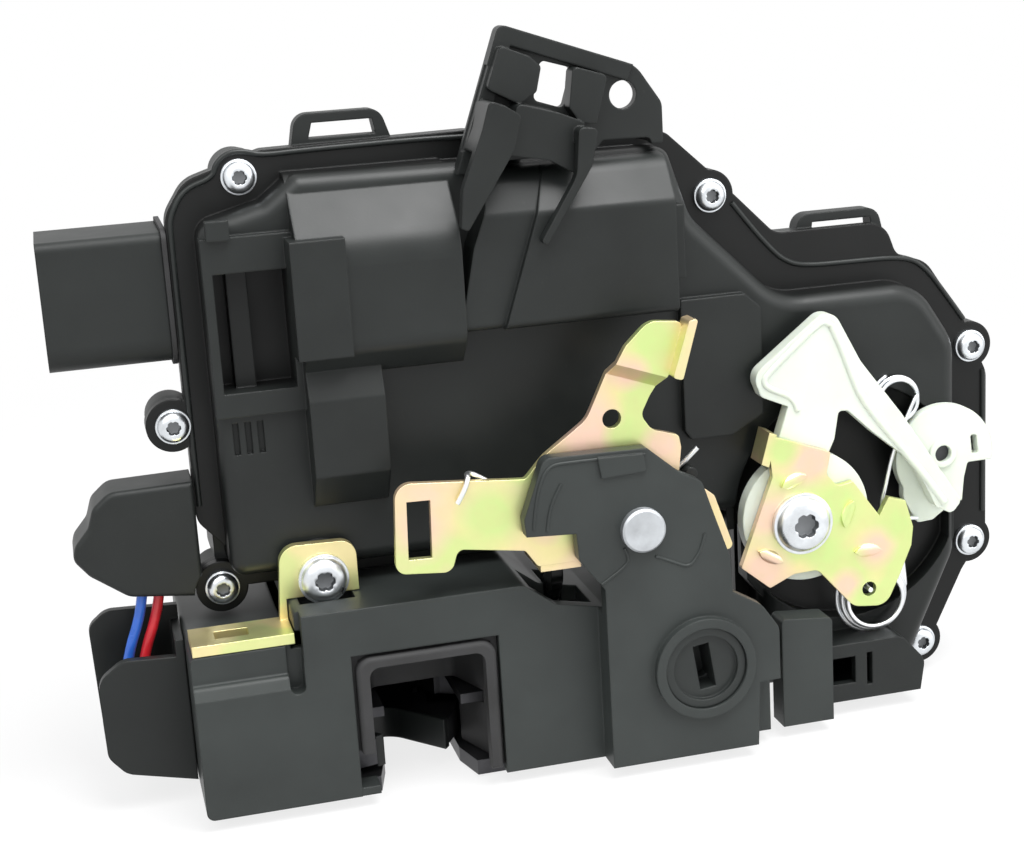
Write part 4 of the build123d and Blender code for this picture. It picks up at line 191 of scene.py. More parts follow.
# Rib and raised border of the pale lock arm: radius, then X and Z in millimetres; part of each stands proud.
LOCK_ARM_FRONT = -22.5
LOCK_RIDGE_SINK = 0.4
LOCK_ARM_RIDGES = (
    ("lock_arm_rib", 0.9, (
        (85.4, 80.2), (87.2, 76.5), (89.3, 70.4), (91.4, 65.2), (96.0, 58.8), (101.0, 52.6), (105.6, 46.6),
        (109.2, 41.2))),
    ("lock_arm_border", 0.7, (
        (85.6, 80.0), (84.2, 81.2), (82.4, 80.6), (72.2, 72.2), (71.0, 70.6), (72.2, 69.0), (77.6, 66.8),
        (78.0, 64.0))),
)


# ---- Settings that a user would change ----
class FinishSettings(bpy.types.PropertyGroup):
    """Colours and finish of the actuator."""
    plastic_colour: bpy.props.FloatVectorProperty(
        name="Plastic", description="Colour of the black mouldings", subtype="COLOR",
        size=3, min=0.0, max=1.0, default=(0.0102, 0.0118, 0.0113))
    nylon_colour: bpy.props.FloatVectorProperty(
        name="Nylon", description="Colour of the pale lock levers", subtype="COLOR",
        size=3, min=0.0, max=1.0, default=(0.62, 0.67, 0.585))
    plating_colour: bpy.props.FloatVectorProperty(
        name="Yellow plating", description="Main colour of the chromated sheet levers", subtype="COLOR",
        size=3, min=0.0, max=1.0, default=(0.86, 0.76, 0.38))
    zinc_colour: bpy.props.FloatVectorProperty(
        name="Zinc", description="Colour of the screws and pins", subtype="COLOR",
        size=3, min=0.0, max=1.0, default=(0.74, 0.77, 0.80))
    edge_radius: bpy.props.FloatProperty(
        name="Edge radius", description="Rounding that the light shows along moulded edges",
        unit="LENGTH", min=0.0, max=0.002, default=0.0005)


class StageSettings(bpy.types.PropertyGroup):
    """Floor, lamps and room light."""
    floor_size: bpy.props.FloatProperty(
        name="Floor size", description="Side of the square floor", unit="LENGTH", default=6.0)
    key_power: bpy.props.FloatProperty(
        name="Key lamp", description="Power of the large lamp at the upper left", unit="POWER", default=3.8)
    fill_power: bpy.props.FloatProperty(
        name="Fill lamp", description="Power of the lamp at the right", unit="POWER", default=2.6)
    top_power: bpy.props.FloatProperty(
        name="Top lamp", description="Power of the lamp above and in front", unit="POWER", default=9.5)
    world_strength: bpy.props.FloatProperty(
        name="Room light", description="Strength of the even light from all sides", default=0.30)


# ---- Helpers for materials ----
class Nodes:
    """Short way to lay out one material's nodes."""

    def __init__(self, name):
        self.material = bpy.data.materials.new(name)
        self.material.use_nodes = True
        self.tree = self.material.node_tree
        self.tree.nodes.clear()
        self.output = self.add("ShaderNodeOutputMaterial")
        self.shader = self.add("ShaderNodeBsdfPrincipled")
        self.link(self.shader.outputs["BSDF"], self.output.inputs["Surface"])
        self.coords = self.add("ShaderNodeTexCoord")

    def add(self, kind, **values):
        node = self.tree.nodes.new(kind)
        for key, value in values.items():
            setattr(node, key, value)
        return node

    def link(self, source, target):
        self.tree.links.new(source, target)

    def set(self, **values):
        for key, value in values.items():
            self.shader.inputs[key.replace("_", " ")].default_value = value

    def mapping(self, **values):
        """The object's own coordinates, changed by the inputs of a Mapping node."""
        node = self.add("ShaderNodeMapping")
        for key, value in values.items():
            node.inputs[key].default_value = value
        self.link(self.coords.outputs["Object"], node.inputs["Vector"])
        return node.outputs["Vector"]

    def noise(self, scale, detail=3.0, roughness=0.5, vector=None):
        node = self.add("ShaderNodeTexNoise")
        node.inputs["Scale"].default_value = scale
        node.inputs["Detail"].default_value = detail
        node.inputs["Roughness"].default_value = roughness
        self.link(vector or self.coords.outputs["Object"], node.inputs["Vector"])
        return node.outputs["Fac"]

    def ramp(self, source, low_at, high_at, low, high):
        """Goes from one colour to another while the source goes from low_at to high_at."""
        node = self.add("ShaderNodeValToRGB")
        for element, place, colour in zip(node.color_ramp.elements, (low_at, high_at), (low, high)):
            element.position = place
            element.color = (*colour, 1.0)
        self.link(source, node.inputs["Fac"])
        return node.outputs["Color"]

    def grey(self, source, low_at, high_at, low, high):
        """Goes from one number to another while the source goes from low_at to high_at."""
        node = self.add("ShaderNodeMapRange")
        for key, value in (("From Min", low_at), ("From Max", high_at), ("To Min", low), ("To Max", high)):
            node.inputs[key].default_value = value
        self.link(source, node.inputs["Value"])
        return node.outputs["Result"]

    def mix(self, factor, first, second):
        """Mixes two colours, each a socket or three numbers; the factor is a socket."""
        node = self.add("ShaderNodeMix", data_type="RGBA")
        for key, value in (("Factor", factor), ("A", first), ("B", second)):
            socket = next(s for s in node.inputs if s.name == key and s.enabled)
            if hasattr(value, "is_output"):
                self.link(value, socket)
            else:
                socket.default_value = (*value, 1.0)
        return next(s for s in node.outputs if s.enabled)

    def spot(self, x, z, reach, warp):
        """Strongest near a line along Y, falling to 0 further out, with an uneven border; in millimetres."""
        flat = self.mapping(Location=(-x * MM, 0, -z * MM), Scale=(1, 0, 1))
        far = self.add("ShaderNodeVectorMath", operation="LENGTH")
        self.link(flat, far.inputs[0])
        uneven = self.add("ShaderNodeMath", operation="MULTIPLY_ADD")
        self.link(warp, uneven.inputs[0])
        uneven.inputs[1].default_value = reach * MM
        self.link(far.outputs["Value"], uneven.inputs[2])
        start, end = TINT_START * reach * MM, TINT_END * reach * MM
        return self.grey(uneven.outputs[0], start, end, TINT_STRENGTH, 0.0)

    def clouded(self, source, colours, roughness):
        """Lets a slow noise lead the base colour and the roughness between two values each."""
        self.link(self.ramp(source, 0.3, 0.7, *colours), self.shader.inputs["Base Color"])
        self.link(self.grey(source, 0.3, 0.7, *roughness), self.shader.inputs["Roughness"])

    def bump(self, height, strength, depth, edge=None):
        """Fine relief of a depth, on edges that look rounded by a radius; both in metres."""
        node = self.add("ShaderNodeBump")
        node.inputs["Strength"].default_value = strength
        node.inputs["Distance"].default_value = depth
        self.link(height, node.inputs["Height"])
        if edge:
            bevel = self.add("ShaderNodeBevel", samples=4)
            bevel.inputs["Radius"].default_value = edge
            self.link(bevel.outputs["Normal"], node.inputs["Normal"])
        self.link(node.outputs["Normal"], self.shader.inputs["Normal"])


def settings():
    return bpy.context.scene.latch_finish


def shade(colour, factor):
    return tuple(min(1.0, c * factor) for c in colour)


def shades(colour, low, high):
    """A darker and a lighter shade of a colour."""
    return shade(colour, low), shade(colour, high)


def moulded_plastic(name, lightness, roughness, edge=None, shade_depths=None):
    """Black moulding with grain, flow marks and dust; between the two given Y values the faces further back
    turn near-black with painted shade.
    """
    s = settings()
    n = Nodes(name)
    flow = n.noise(38.0, 4.0, 0.6)
    colour = n.ramp(flow, 0.30, 0.70, *shades(shade(s.plastic_colour, lightness), 0.85, 1.25))
    specks = n.grey(n.noise(900.0, 2.0, 0.6), 0.70, 0.80, 0.0, 0.06)
    colour = n.mix(specks, colour, DUST)
    # Painted shade: faces further back along Y are mixed towards near-black.
    if shade_depths:
        parts = n.add("ShaderNodeSeparateXYZ")
        n.link(n.coords.outputs["Object"], parts.inputs[0])
        start, end = (y * MM for y in shade_depths)
        colour = n.mix(n.grey(parts.outputs["Y"], start, end, 0.0, 0.85), colour, PAINTED_SHADE_BLACK)
    n.link(colour, n.shader.inputs["Base Color"])
    n.link(n.grey(flow, 0.3, 0.7, roughness - 0.05, roughness + 0.08), n.shader.inputs["Roughness"])
    n.set(Specular_IOR_Level=0.3)
    n.bump(n.noise(2400.0, 2.0), 0.35, 0.00003, edge or s.edge_radius)
    return n.material


def nylon(name):
    """Pale unfilled nylon with a waxy depth."""
    s = settings()
    n = Nodes(name)
    n.clouded(n.noise(60.0), shades(s.nylon_colour, 0.93, 1.04), (0.30, 0.42))
    n.set(Subsurface_Weight=0.25, Subsurface_Scale=0.0015, Subsurface_Radius=(1.0, 0.9, 0.6))
    n.bump(n.noise(1400.0, 2.0), 0.15, 0.00002, s.edge_radius)
    return n.material


def yellow_plating(name, rose, green, cloud_scale, tints=()):
    """Yellow chromate on sheet steel: gold with broad rose and green clouds and fine rolling lines."""
    n = Nodes(name)
    gold = tuple(settings().plating_colour)
    warp = n.noise(cloud_scale, 2.0, 0.45)
    cloud = n.noise(cloud_scale * 1.7, 2.0, 0.4)
    colour = n.mix(n.grey(warp, 0.49, 0.57, 0.0, green), gold, LEAF)
    colour = n.mix(n.grey(warp, 0.48, 0.41, 0.0, rose), colour, ROSE)
    colour = n.mix(n.grey(cloud, 0.56, 0.66, 0.0, 0.8 * rose), colour, ROSE)
    for x, z, reach, tint in tints:
        colour = n.mix(n.spot(x, z, reach, warp), colour, tint)
    colour = n.mix(n.grey(n.noise(360.0), 0.4, 0.7, 0.0, 0.18), colour, shade(gold, 0.80))
    n.link(colour, n.shader.inputs["Base Color"])
    n.set(Metallic=0.85)
    n.link(n.grey(cloud, 0.3, 0.7, 0.30, 0.42), n.shader.inputs["Roughness"])
    along = n.mapping(Scale=(1.0, 1.0, 0.08), Rotation=(0, math.radians(20), 0))
    n.bump(n.noise(900.0, 2.0, 0.5, along), 0.10, 0.00002, 0.0002)
    return n.material


def zinc(name, tone, roughness):
    """Bright zinc on turned or headed steel."""
    n = Nodes(name)
    base = shade(settings().zinc_colour, tone)
    n.clouded(n.noise(240.0, 4.0, 0.6), shades(base, 0.82, 1.1), (roughness - 0.05, roughness + 0.1))
    n.set(Metallic=1.0)
    n.bump(n.noise(2600.0, 2.0), 0.12, 0.00001, 0.00015)
    return n.material


def oiled_steel(name):
    """Dark phosphated plate with a film of oil."""
    n = Nodes(name)
    n.clouded(n.noise(120.0, 5.0, 0.6), PHOSPHATE, (0.34, 0.5))
    n.set(Metallic=0.9)
    n.bump(n.noise(700.0), 0.2, 0.00002, 0.0002)
    return n.material


def rubber(name):
    """Soft matt black rubber."""
    n = Nodes(name)
    n.clouded(n.noise(150.0), RUBBER, (0.62, 0.78))
    n.bump(n.noise(1800.0, 2.0), 0.3, 0.00003, 0.0003)
    return n.material


def brass(name):
    """Bright stamped or turned brass."""
    n = Nodes(name)
    n.clouded(n.noise(200.0), BRASS, (0.25, 0.38))
    n.set(Metallic=1.0)
    n.bump(n.noise(1500.0, 2.0), 0.1, 0.00001, 0.0001)
    return n.material


def insulation(name, colour):
    """Glossy wire insulation, a little duller where it was handled."""
    n = Nodes(name)
    n.clouded(n.noise(260.0), shades(colour, 0.85, 1.1), (0.26, 0.38))
    n.set(Coat_Weight=0.2, Coat_Roughness=0.2)
    n.bump(n.noise(1200.0, 2.0), 0.08, 0.00001)
    return n.material


def dress(material, *names):
    """Gives CAD nodes a finished material."""
    for name in names:
        mesh = NODES[name].data
        mesh.materials.clear()
        mesh.materials.append(material)


# ---- Stage ----
def aim(obj, target):
    obj.rotation_euler = (Vector(target) - obj.location).to_track_quat("-Z", "Y").to_euler()


def area_lamp(name, place, target, size, power):
    bpy.ops.object.light_add(type="AREA", location=place)
    lamp = bpy.context.object
    lamp.name = name
    lamp.data.size = size
    lamp.data.energy = power
    aim(lamp, target)


def seen_rays(tree):
    """1 for camera, glossy and transmission rays, which show the plain white background."""
    path = tree.nodes.new("ShaderNodeLightPath")
    found = path.outputs["Is Camera Ray"]
    for ray in ("Is Glossy Ray", "Is Transmission Ray"):
        either = tree.nodes.new("ShaderNodeMath")
        either.operation = "MAXIMUM"
        tree.links.new(found, either.inputs[0])
        tree.links.new(path.outputs[ray], either.inputs[1])
        found = either.outputs[0]
    return found


def white_where_seen(tree, shader, strength):
    """Mixes a surface with plain white where it is seen."""
    part = tree.nodes.new("ShaderNodeMath")
    part.operation = "MULTIPLY"
    tree.links.new(strength, part.inputs[1])
    tree.links.new(seen_rays(tree), part.inputs[0])
    white = tree.nodes.new("ShaderNodeEmission")
    white.inputs["Color"].default_value = (*WHITE, 1)
    white.inputs["Strength"].default_value = 1.0
    mix = tree.nodes.new("ShaderNodeMixShader")
    tree.links.new(part.outputs[0], mix.inputs["Fac"])
    tree.links.new(shader, mix.inputs[1])
    tree.links.new(white.outputs[0], mix.inputs[2])
    return mix.outputs[0]


def floor_material(centre):
    """Keeps the shadow near the object and fades to plain white further out."""
    material = bpy.data.materials.new("pale_floor")
    material.use_nodes = True
    tree = material.node_tree
    shader = tree.nodes["Principled BSDF"]
    shader.inputs["Base Color"].default_value = (*FLOOR_GREY, 1)
    shader.inputs["Roughness"].default_value = 0.8
    coords = tree.nodes.new("ShaderNodeTexCoord")
    reach = tree.nodes.new("ShaderNodeVectorMath")
    reach.operation = "DISTANCE"
    tree.links.new(coords.outputs["Object"], reach.inputs[0])
    reach.inputs[1].default_value = centre
    fade = tree.nodes.new("ShaderNodeMapRange")
    fade.inputs["From Min"].default_value = FADE_START
    fade.inputs["From Max"].default_value = FADE_END
    fade.inputs["To Min"].default_value = FADE_LEAST
    tree.links.new(reach.outputs["Value"], fade.inputs["Value"])
    surface = white_where_seen(tree, shader.outputs[0], fade.outputs["Result"])
    tree.links.new(surface, tree.nodes["Material Output"].inputs["Surface"])
    return material


def add_floor(size, centre):
    """Square floor just under the object."""
    bpy.ops.object.select_all(action="DESELECT")
    place = (centre.x, centre.y, centre.z - FLOOR_GAP)
    bpy.ops.mesh.primitive_plane_add(size=size, location=place)
    floor = bpy.context.object
    floor.name = "floor"
    bpy.ops.object.transform_apply(location=True)
    floor.data.materials.append(floor_material(centre))


def add_room(scene, strength):
    """Even light from all sides, in front of plain white."""
    world = scene.world or bpy.data.worlds.new("room")
    scene.world = world
    world.use_nodes = True
    tree = world.node_tree
    tree.nodes.clear()
    out = tree.nodes.new("ShaderNodeOutputWorld")
    room = tree.nodes.new("ShaderNodeBackground")
    room.inputs["Color"].default_value = (*ROOM_COLOUR, 1)
    room.inputs["Strength"].default_value = strength
    seen = tree.nodes.new("ShaderNodeBackground")
    seen.inputs["Color"].default_value = (*WHITE, 1)
    seen.inputs["Strength"].default_value = 1.0
    mix = tree.nodes.new("ShaderNodeMixShader")
    tree.links.new(seen_rays(tree), mix.inputs["Fac"])
    tree.links.new(room.outputs[0], mix.inputs[1])
    tree.links.new(seen.outputs[0], mix.inputs[2])
    tree.links.new(mix.outputs[0], out.inputs["Surface"])


def add_camera(scene):
    """Camera in front of the object, turned about its own axis by the roll."""
    bpy.ops.object.camera_add(location=CAMERA_PLACE)
    camera = bpy.context.object
    camera.name = "camera"
    yaw, down, roll = (math.radians(a) for a in (CAMERA_YAW, CAMERA_DOWN, CAMERA_ROLL))
    forward = Vector((math.sin(yaw) * math.cos(down), math.cos(yaw) * math.cos(down), -math.sin(down)))
    right = Vector((math.cos(yaw), -math.sin(yaw), 0))
    up = right.cross(forward)
    side = right * math.cos(roll) + up * math.sin(roll)
    top = up * math.cos(roll) - right * math.sin(roll)
    turn = Matrix((side, top, -forward)).transposed().to_4x4()
    camera.matrix_world = Matrix.Translation(CAMERA_PLACE) @ turn
    camera.data.sensor_width = SENSOR
    camera.data.lens = CAMERA_LENS
    camera.data.clip_start = 0.01
    scene.camera = camera


class LATCH_OT_stage(bpy.types.Operator):
    """Floor, soft lamps, room light and camera"""
    bl_idname = "latch.stage"
    bl_label = "Stage"

    def execute(self, context):
        stage = context.scene.latch_stage
        low, high = Vector(CAD_BOX[0]), Vector(CAD_BOX[1])
        middle = (low + high) / 2
        add_floor(stage.floor_size, Vector((middle.x, middle.y, low.z)))
        area_lamp("key_lamp", middle + KEY_STEP, middle, KEY_SIZE, stage.key_power)
        area_lamp("fill_lamp", middle + FILL_STEP, middle, FILL_SIZE, stage.fill_power)
        area_lamp("top_lamp", middle + TOP_STEP, middle, TOP_SIZE, stage.top_power)
        add_room(context.scene, stage.world_strength)
        add_camera(context.scene)
        context.scene.view_settings.view_transform = "Standard"
        return {"FINISHED"}


# ---- Finishes of the CAD nodes ----
class LATCH_OT_mouldings(bpy.types.Operator):
    """Finish of the black mouldings"""
    bl_idname = "latch.mouldings"
    bl_label = "Black mouldings"

    def execute(self, context):
        # The front cover's faces in its window and flange channel get painted shade.
        dress(moulded_plastic("cover_plastic", 1.15, 0.40, shade_depths=COVER_SHADE_DEPTHS), "front_cover")
        dress(moulded_plastic("housing_plastic", 1.0, 0.46), "rear_housing")
        dress(moulded_plastic("latch_plastic", 2.5, 0.42), "latch_cover")
        dress(moulded_plastic("bracket_plastic", 1.0, 0.40), "cable_bracket")
        dress(moulded_plastic("guide_plastic", 1.05, 0.42), "wire_outlet_cover", "wire_guide")
        dress(moulded_plastic("plug_plastic", 1.2, 0.50), "connector_shroud")
        dress(moulded_plastic("key_plastic", 1.9, 0.36), "key_coupling")
        dress(moulded_plastic("sleeve_plastic", 0.9, 0.30), "pawl_lifter", "claw_sleeve")
        dress(moulded_plastic("switch_plastic", 1.0, 0.4), "latch_switch", "lock_switch", "motor_end_cap")
        dress(rubber("soft_rubber"), "housing_seal", "connector_seal", "striker_liner", "claw_bumper")
        return {"FINISHED"}


class LATCH_OT_levers(bpy.types.Operator):
    """Finish of the levers and brackets"""
    bl_idname = "latch.levers"
    bl_label = "Levers and brackets"

    def execute(self, context):
        dress(nylon("lever_nylon"), "lock_arm", "inner_lever", "lock_crank")
        dress(nylon("gear_nylon"), "worm_wheel", "lock_slide")
        dress(yellow_plating("release_plating", 0.5, 0.8, 42.0, RELEASE_TINTS), "release_lever")
        dress(yellow_plating("lock_plating", 0.5, 0.8, 46.0, PLATE_TINTS), "lock_plate")
        dress(yellow_plating("bracket_plating", 0.1, 0.6, 60.0), "fixing_bracket")
        return {"FINISHED"}


class LATCH_OT_metals(bpy.types.Operator):
    """Finish of pins, springs, plates and brass pieces"""
    bl_idname = "latch.metals"
    bl_label = "Metal pieces"

    def execute(self, context):
        dress(zinc("pin_zinc", 0.75, 0.36), "claw_pin", "pawl_pin", "lifter_pin", "wheel_axle", "motor_shaft",
              "motor_can")
        dress(zinc("rivet_zinc", 0.72, 0.5), "release_pin")
        dress(zinc("spring_steel", 0.8, 0.25), "claw_spring", "pawl_spring")
        dress(oiled_steel("plate_steel"), "latch_plate", "latch_back_plate", "claw", "pawl", "inner_stud")
        dress(brass("contact_brass"), "connector_pins", "lead_frame", "worm")
        return {"FINISHED"}


# ---- Helpers for new pieces ----
def start_cylinder(name, **values):
    """Adds a cylinder as the only selected piece, puts its place into its mesh and opens it for edits."""
    bpy.ops.object.select_all(action="DESELECT")
    bpy.ops.mesh.primitive_cylinder_add(**values)
    piece = bpy.context.object
    piece.name = name
    bpy.ops.object.transform_apply(location=True, rotation=True, scale=True)
    bpy.ops.object.mode_set(mode="EDIT")
    return piece


def pick(piece, kind, test):
    """Selects the faces or vertices that pass the test, in edit mode."""
    bpy.ops.mesh.select_mode(type=kind)
    bpy.ops.mesh.select_all(action="DESELECT")
    mesh = bmesh.from_edit_mesh(piece.data)
    for item in {"FACE": mesh.faces, "VERT": mesh.verts}[kind]:
        if test(item):
            item.select_set(True)
    mesh.select_flush_mode()
    bmesh.update_edit_mesh(piece.data)


def pull(step, grow=(1, 1, 1), centre=(0, 0, 0)):
    """Extrudes what is selected by a step, then scales it about a centre, if it is to grow or shrink."""
    bpy.ops.mesh.extrude_region_move(TRANSFORM_OT_translate={"value": step})
    if tuple(grow) != (1, 1, 1):
        bpy.ops.transform.resize(value=grow, center_override=centre)


def finish_piece(piece, body, material, smooth=35.0, bevel=0.0):
    """Leaves edit mode, rounds edges, shades and hangs the piece on its body, if it has only one."""
    bpy.ops.object.mode_set(mode="OBJECT")
    if bevel:
        modifier = piece.modifiers.new("edges", "BEVEL")
        modifier.width = bevel
        modifier.segments = 2
        modifier.limit_method = "ANGLE"
        modifier.angle_limit = math.radians(40)
        bpy.ops.object.modifier_apply(modifier=modifier.name)
    bpy.ops.object.shade_smooth_by_angle(angle=math.radians(smooth))
    piece.data.materials.clear()
    piece.data.materials.append(material)
    if body:
        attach(piece, body)


def paint_socket_shade(piece, reach, front, material):
    """Gives the faces of a screw's socket a dark zinc finish as painted shade, before the screw is moved to
    its place.
    """
    piece.data.materials.append(material)
    for face in piece.data.polygons:
        x, y, z = face.center
        if math.hypot(x, z) < reach and front < y < 0:
            face.material_index = 1


def place_copy(piece, name, offset, turn):
    """A copy with its own mesh, turned about Y and moved, with its place in its mesh."""
    copy = piece.copy()
    copy.data = piece.data.copy()
    copy.name = name
    bpy.context.collection.objects.link(copy)
    copy.data.transform(Matrix.Translation(offset) @ Matrix.Rotation(turn, 4, "Y"))
    return copy


# ---- Screws ----
def six_lobe_screw(name, head_r, head_h, socket_r, shank_r, shank_l):
    """Screw along Y about the origin: flat rim, domed head, six-lobed socket, shank."""
    rim_h = head_h * RIM_SHARE
    piece = start_cylinder(name, vertices=48, radius=head_r, depth=rim_h, location=(0, -rim_h / 2, 0),
                           rotation=(math.radians(90), 0, 0))
    pick(piece, "FACE", lambda f: f.normal.y < -0.9)
    bpy.ops.mesh.inset(thickness=head_r * RIM_INSET)
    top_r = head_r * (1 - RIM_INSET)
    for rise, grow in DOME_STEPS:
        pull((0, -head_h * rise, 0), (grow, 1, grow))
        top_r *= grow
    bpy.ops.mesh.inset(thickness=top_r - socket_r)
    front = min(v.co.y for v in bmesh.from_edit_mesh(piece.data).verts)
    for limit, draw in LOBE_DRAWS:
        pick(piece, "VERT", lambda v: v.co.y < front + 1e-6 and math.hypot(v.co.x, v.co.z) < socket_r * 1.02
             and math.cos(6 * math.atan2(v.co.z, v.co.x)) < limit)
        bpy.ops.transform.resize(value=(draw, 1, draw), center_override=(0, front, 0))
    pick(piece, "FACE", lambda f: f.normal.y < -0.9 and f.calc_center_median().y < front + 1e-6
         and len(f.verts) > 8)
    pull((0, head_h * SOCKET_DEPTH, 0), (0.94, 1, 0.94), (0, front, 0))
    pick(piece, "FACE", lambda f: f.normal.y > 0.9)
    bpy.ops.mesh.inset(thickness=head_r - shank_r)
    pull((0, shank_l * (1 - SHANK_TIP), 0))
    pull((0, shank_l * SHANK_TIP, 0), (0.6, 1, 0.6))
    return piece


def add_cover_screws(bright, socket):
    """Equal screws round the front cover, each with its socket at another angle."""
    low, high = (Vector(v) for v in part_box("cover_screws"))
    head_h = COVER_HEAD_H * MM
    shank_l = high.y - low.y - head_h
    first = six_lobe_screw("cover_screw_1", COVER_HEAD_R * MM, head_h, COVER_SOCKET_R * MM,
                           COVER_SHANK_R * MM, shank_l)
    finish_piece(first, "housing", bright, bevel=0.00008)
    paint_socket_shade(first, COVER_SOCKET_REACH * MM, -head_h * SOCKET_FRONT, socket)
    base = low.y + head_h
    for step, (x, z) in enumerate(COVER_SCREWS[1:], 2):
        place = Vector((x * MM, base, z * MM))
        copy = place_copy(first, f"cover_screw_{step}", place, math.radians(SCREW_TURN * step))
        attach(copy, "housing")
        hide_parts("cover_screws")
    x, z = COVER_SCREWS[0]
    first.data.transform(Matrix.Translation((x * MM, base, z * MM)))
    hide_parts("cover_screws")


def add_large_screw(name, node, body, head_h, socket_r, shank_share, bright, socket):
    """Screw whose head and length are those of its node."""
    low, high = (Vector(v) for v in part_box(node))
    head_r = (high.x - low.x) / 2
    screw = six_lobe_screw(name, head_r, head_h, socket_r, head_r * shank_share, high.y - low.y - head_h)
    finish_piece(screw, body, bright, bevel=0.00012)
    paint_socket_shade(screw, socket_r * SOCKET_REACH, -head_h * SOCKET_FRONT, socket)
    middle = (low + high) / 2
    screw.data.transform(Matrix.Translation((middle.x, low.y + head_h, middle.z)))
    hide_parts(node)


class LATCH_OT_screws(bpy.types.Operator):
    """Headed screws with six-lobed sockets"""
    bl_idname = "latch.screws"
    bl_label = "Screws"

    def execute(self, context):
        bright = zinc("screw_zinc", 1.05, 0.30)
        # The dark socket zinc is painted shade inside the screws' sockets.
        socket = zinc("socket_shade_zinc", 0.28, 0.45)
        add_cover_screws(bright, socket)
        for name, node, body, head_h, socket_r, shank_share in LARGE_SCREWS:
            add_large_screw(name, node, body, head_h * MM, socket_r * MM, shank_share, bright, socket)
        return {"FINISHED"}


# ---- Wire springs and wires ----
def wire_piece(name, points, radius, body, material, node=None, held=None):
    """Round wire along a smooth line, in millimetres, for a CAD node that it replaces, if there is one.

    held names the second body that the wire reaches and the two places between which it goes over to it;
    these are not used: if held is given, the wire hangs on no body.
    """
    bpy.ops.object.select_all(action="DESELECT")
    bpy.ops.curve.primitive_nurbs_path_add(location=(0, 0, 0))
    piece = bpy.context.object
    piece.name = name
    curve = piece.data
    curve.splines.clear()
    spline = curve.splines.new("NURBS")
    spline.points.add(len(points) - 1)
    for point, place in zip(spline.points, points):
        point.co = (*(c * MM for c in place), 1.0)
    spline.order_u = 3
    spline.use_endpoint_u = True
    spline.resolution_u = 6
    curve.dimensions = "3D"
    curve.bevel_depth = radius * MM
    curve.bevel_resolution = 4
    curve.use_fill_caps = True
    bpy.ops.object.convert(target="MESH")
    piece = bpy.context.object
    bpy.ops.object.mode_set(mode="EDIT")
    bpy.ops.mesh.select_all(action="SELECT")
    bpy.ops.mesh.remove_doubles(threshold=1e-7)
    bpy.ops.mesh.normals_make_consistent(inside=False)
    finish_piece(piece, None if held else body, material, smooth=50.0)
    if node:
        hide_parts(node)
    if held:
        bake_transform(piece)


def turns(centre, r, count, pitch, start_deg, draw_in=0.0):
    """Points of a coil that grows towards -Y; each turn is smaller by draw_in."""
    steps = round(count * COIL_STEPS)
    found = []
    for step in range(steps + 1):
        part = step / steps
        turn = math.radians(start_deg + 360 * count * part)
        now = r - draw_in * count * part
        found.append((centre[0] + now * math.cos(turn), centre[1] - count * pitch * part,
                      centre[2] + now * math.sin(turn)))
    return found


def release_spring_route():
    """Coil round the release lever's pin; its long end hooks round the lever."""
    coil = turns(centre=(41.2, -25.6, 48.9), r=7.4, count=1.6, pitch=1.6, start_deg=30.0)
    hook = [(12.0, -30.0, 61.6), (9.8, -30.6, 62.3), (9.6, -33.4, 62.3), (8.8, -33.5, 60.0),
            (7.2, -33.5, 57.6)]
    return [(55.6, -27.2, 60.6)] + coil + hook


def lock_spring_route():
    """Narrowing coil beside the lock plate; its last leg goes through the plate's hole."""
    coil = turns(centre=(95.2, -16.85, 22.0), r=8.0, count=3.25, pitch=1.15, start_deg=0.0, draw_in=0.75)
    foot = [(101.9, -12.3, 33.0), (101.9, -16.2, 33.0), (102.4, -16.8, 30.5)]
    leg = [(93.0, -20.7, 27.4), (91.9, -21.4, 26.6), (91.8, -22.2, 26.0), (91.8, -25.0, 26.0)]
    return foot + coil + leg


def inner_spring_route():
    """Small narrowing coil above the inner lever, with a long bent leg."""
    coil = turns(centre=(101.3, -16.45, 62.3), r=5.2, count=2.75, pitch=0.85, start_deg=110.0, draw_in=0.45)
    leg = [(99.6, -18.95, 52.0), (98.0, -18.95, 45.0), (96.9, -18.95, 41.4), (97.6, -19.0, 39.2),
           (99.6, -19.0, 38.2), (105.0, -19.0, 37.6)]
    return [(99.7, -15.8, 67.0)] + coil + leg


class LATCH_OT_springs(bpy.types.Operator):
    """Round-wire springs of the levers"""
    bl_idname = "latch.springs"
    bl_label = "Springs"

    def execute(self, context):
        steel = zinc("wire_steel", 1.25, 0.34)
        wire_piece("release_spring_wire", release_spring_route(), LEVER_WIRE_R, "housing",
                   steel, "release_spring", ("release_lever", *RELEASE_HOLD))
        wire_piece("lock_spring_wire", lock_spring_route(), LEVER_WIRE_R, "housing",
                   steel, "lock_spring", ("lock_lever", *LOCK_HOLD))
        wire_piece("inner_spring_wire", inner_spring_route(), INNER_WIRE_R, "housing",
                   steel, "inner_spring")
        return {"FINISHED"}


def ridge_line(name, points, y, radius, body, material):
    """Rounded moulded ridge on a front face; the rest of it lies in what carries it."""
    wire_piece(name, [(x, y, z) for x, z in points], radius, body, material)


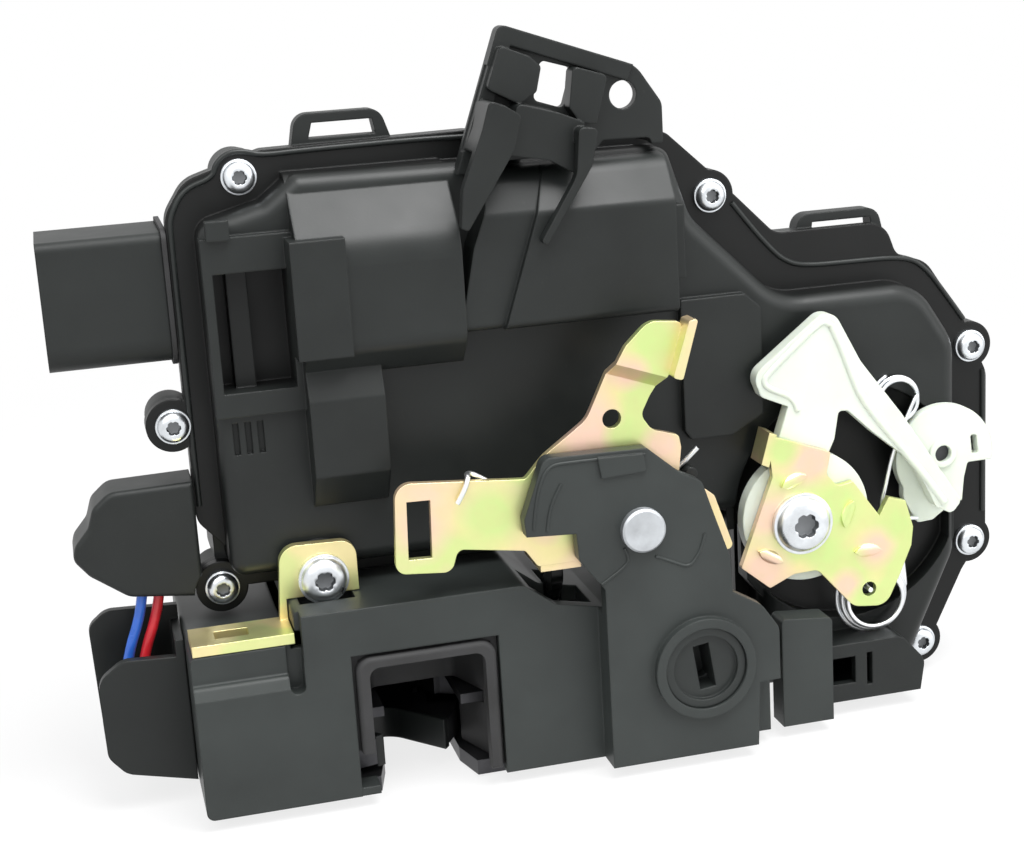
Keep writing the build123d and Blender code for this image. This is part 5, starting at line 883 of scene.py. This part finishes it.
class LATCH_OT_ridges(bpy.types.Operator):
    """Fine moulded ridges on the latch cover's arm, the front cover's flange and the pale lock arm"""
    bl_idname = "latch.ridges"
    bl_label = "Moulded ridges"

    def execute(self, context):
        plastic = moulded_plastic("ridge_plastic", 2.5, 0.40, edge=0.0001)
        for name, points in ARM_RIDGES:
            ridge_line(name, points, ARM_FRONT, ARM_RIDGE_R, "housing", plastic)
        rim = moulded_plastic("rim_plastic", 1.3, 0.34, edge=0.0001)
        for name, points in FLANGE_LIPS:
            ridge_line(name, points, FLANGE_FRONT, FLANGE_LIP_R, "housing", rim)
        pale = nylon("ridge_nylon")
        for name, radius, points in LOCK_ARM_RIDGES:
            y = LOCK_ARM_FRONT + LOCK_RIDGE_SINK * radius
            ridge_line(name, points, y, radius, "lock_lever", pale)
        return {"FINISHED"}


class LATCH_OT_wires(bpy.types.Operator):
    """Two insulated wires between the housing and the latch"""
    bl_idname = "latch.wires"
    bl_label = "Wires"

    def execute(self, context):
        blue = insulation("blue_insulation", BLUE)
        red = insulation("red_insulation", RED)
        wire_piece("blue_wire_run", BLUE_ROUTE, WIRE_R, "housing", blue, "blue_wire")
        wire_piece("red_wire_run", RED_ROUTE, WIRE_R, "housing", red, "red_wire")
        return {"FINISHED"}


class LATCH_PT_panel(bpy.types.Panel):
    """Lists the steps that finish the actuator"""
    bl_idname = "LATCH_PT_panel"
    bl_label = "Door latch"
    bl_space_type = "VIEW_3D"
    bl_region_type = "UI"
    bl_category = "Door latch"

    def draw(self, context):
        for step in STEPS:
            self.layout.operator(step.bl_idname)
        for name in FinishSettings.__annotations__:
            self.layout.prop(context.scene.latch_finish, name)
        for name in StageSettings.__annotations__:
            self.layout.prop(context.scene.latch_stage, name)


STEPS = (LATCH_OT_stage, LATCH_OT_mouldings, LATCH_OT_levers, LATCH_OT_metals, LATCH_OT_screws,
         LATCH_OT_springs, LATCH_OT_ridges, LATCH_OT_wires)
CLASSES = (FinishSettings, StageSettings, *STEPS, LATCH_PT_panel)


def register():
    for item in CLASSES:
        bpy.utils.register_class(item)
    bpy.types.Scene.latch_finish = bpy.props.PointerProperty(type=FinishSettings)
    bpy.types.Scene.latch_stage = bpy.props.PointerProperty(type=StageSettings)


def unregister():
    del bpy.types.Scene.latch_stage
    del bpy.types.Scene.latch_finish
    for item in reversed(CLASSES):
        bpy.utils.unregister_class(item)


def main():
    register()
    bpy.ops.latch.stage()
    bpy.ops.latch.mouldings()
    bpy.ops.latch.levers()
    bpy.ops.latch.metals()
    bpy.ops.latch.screws()
    bpy.ops.latch.springs()
    bpy.ops.latch.ridges()
    bpy.ops.latch.wires()


if __name__ == "__main__":
    main()
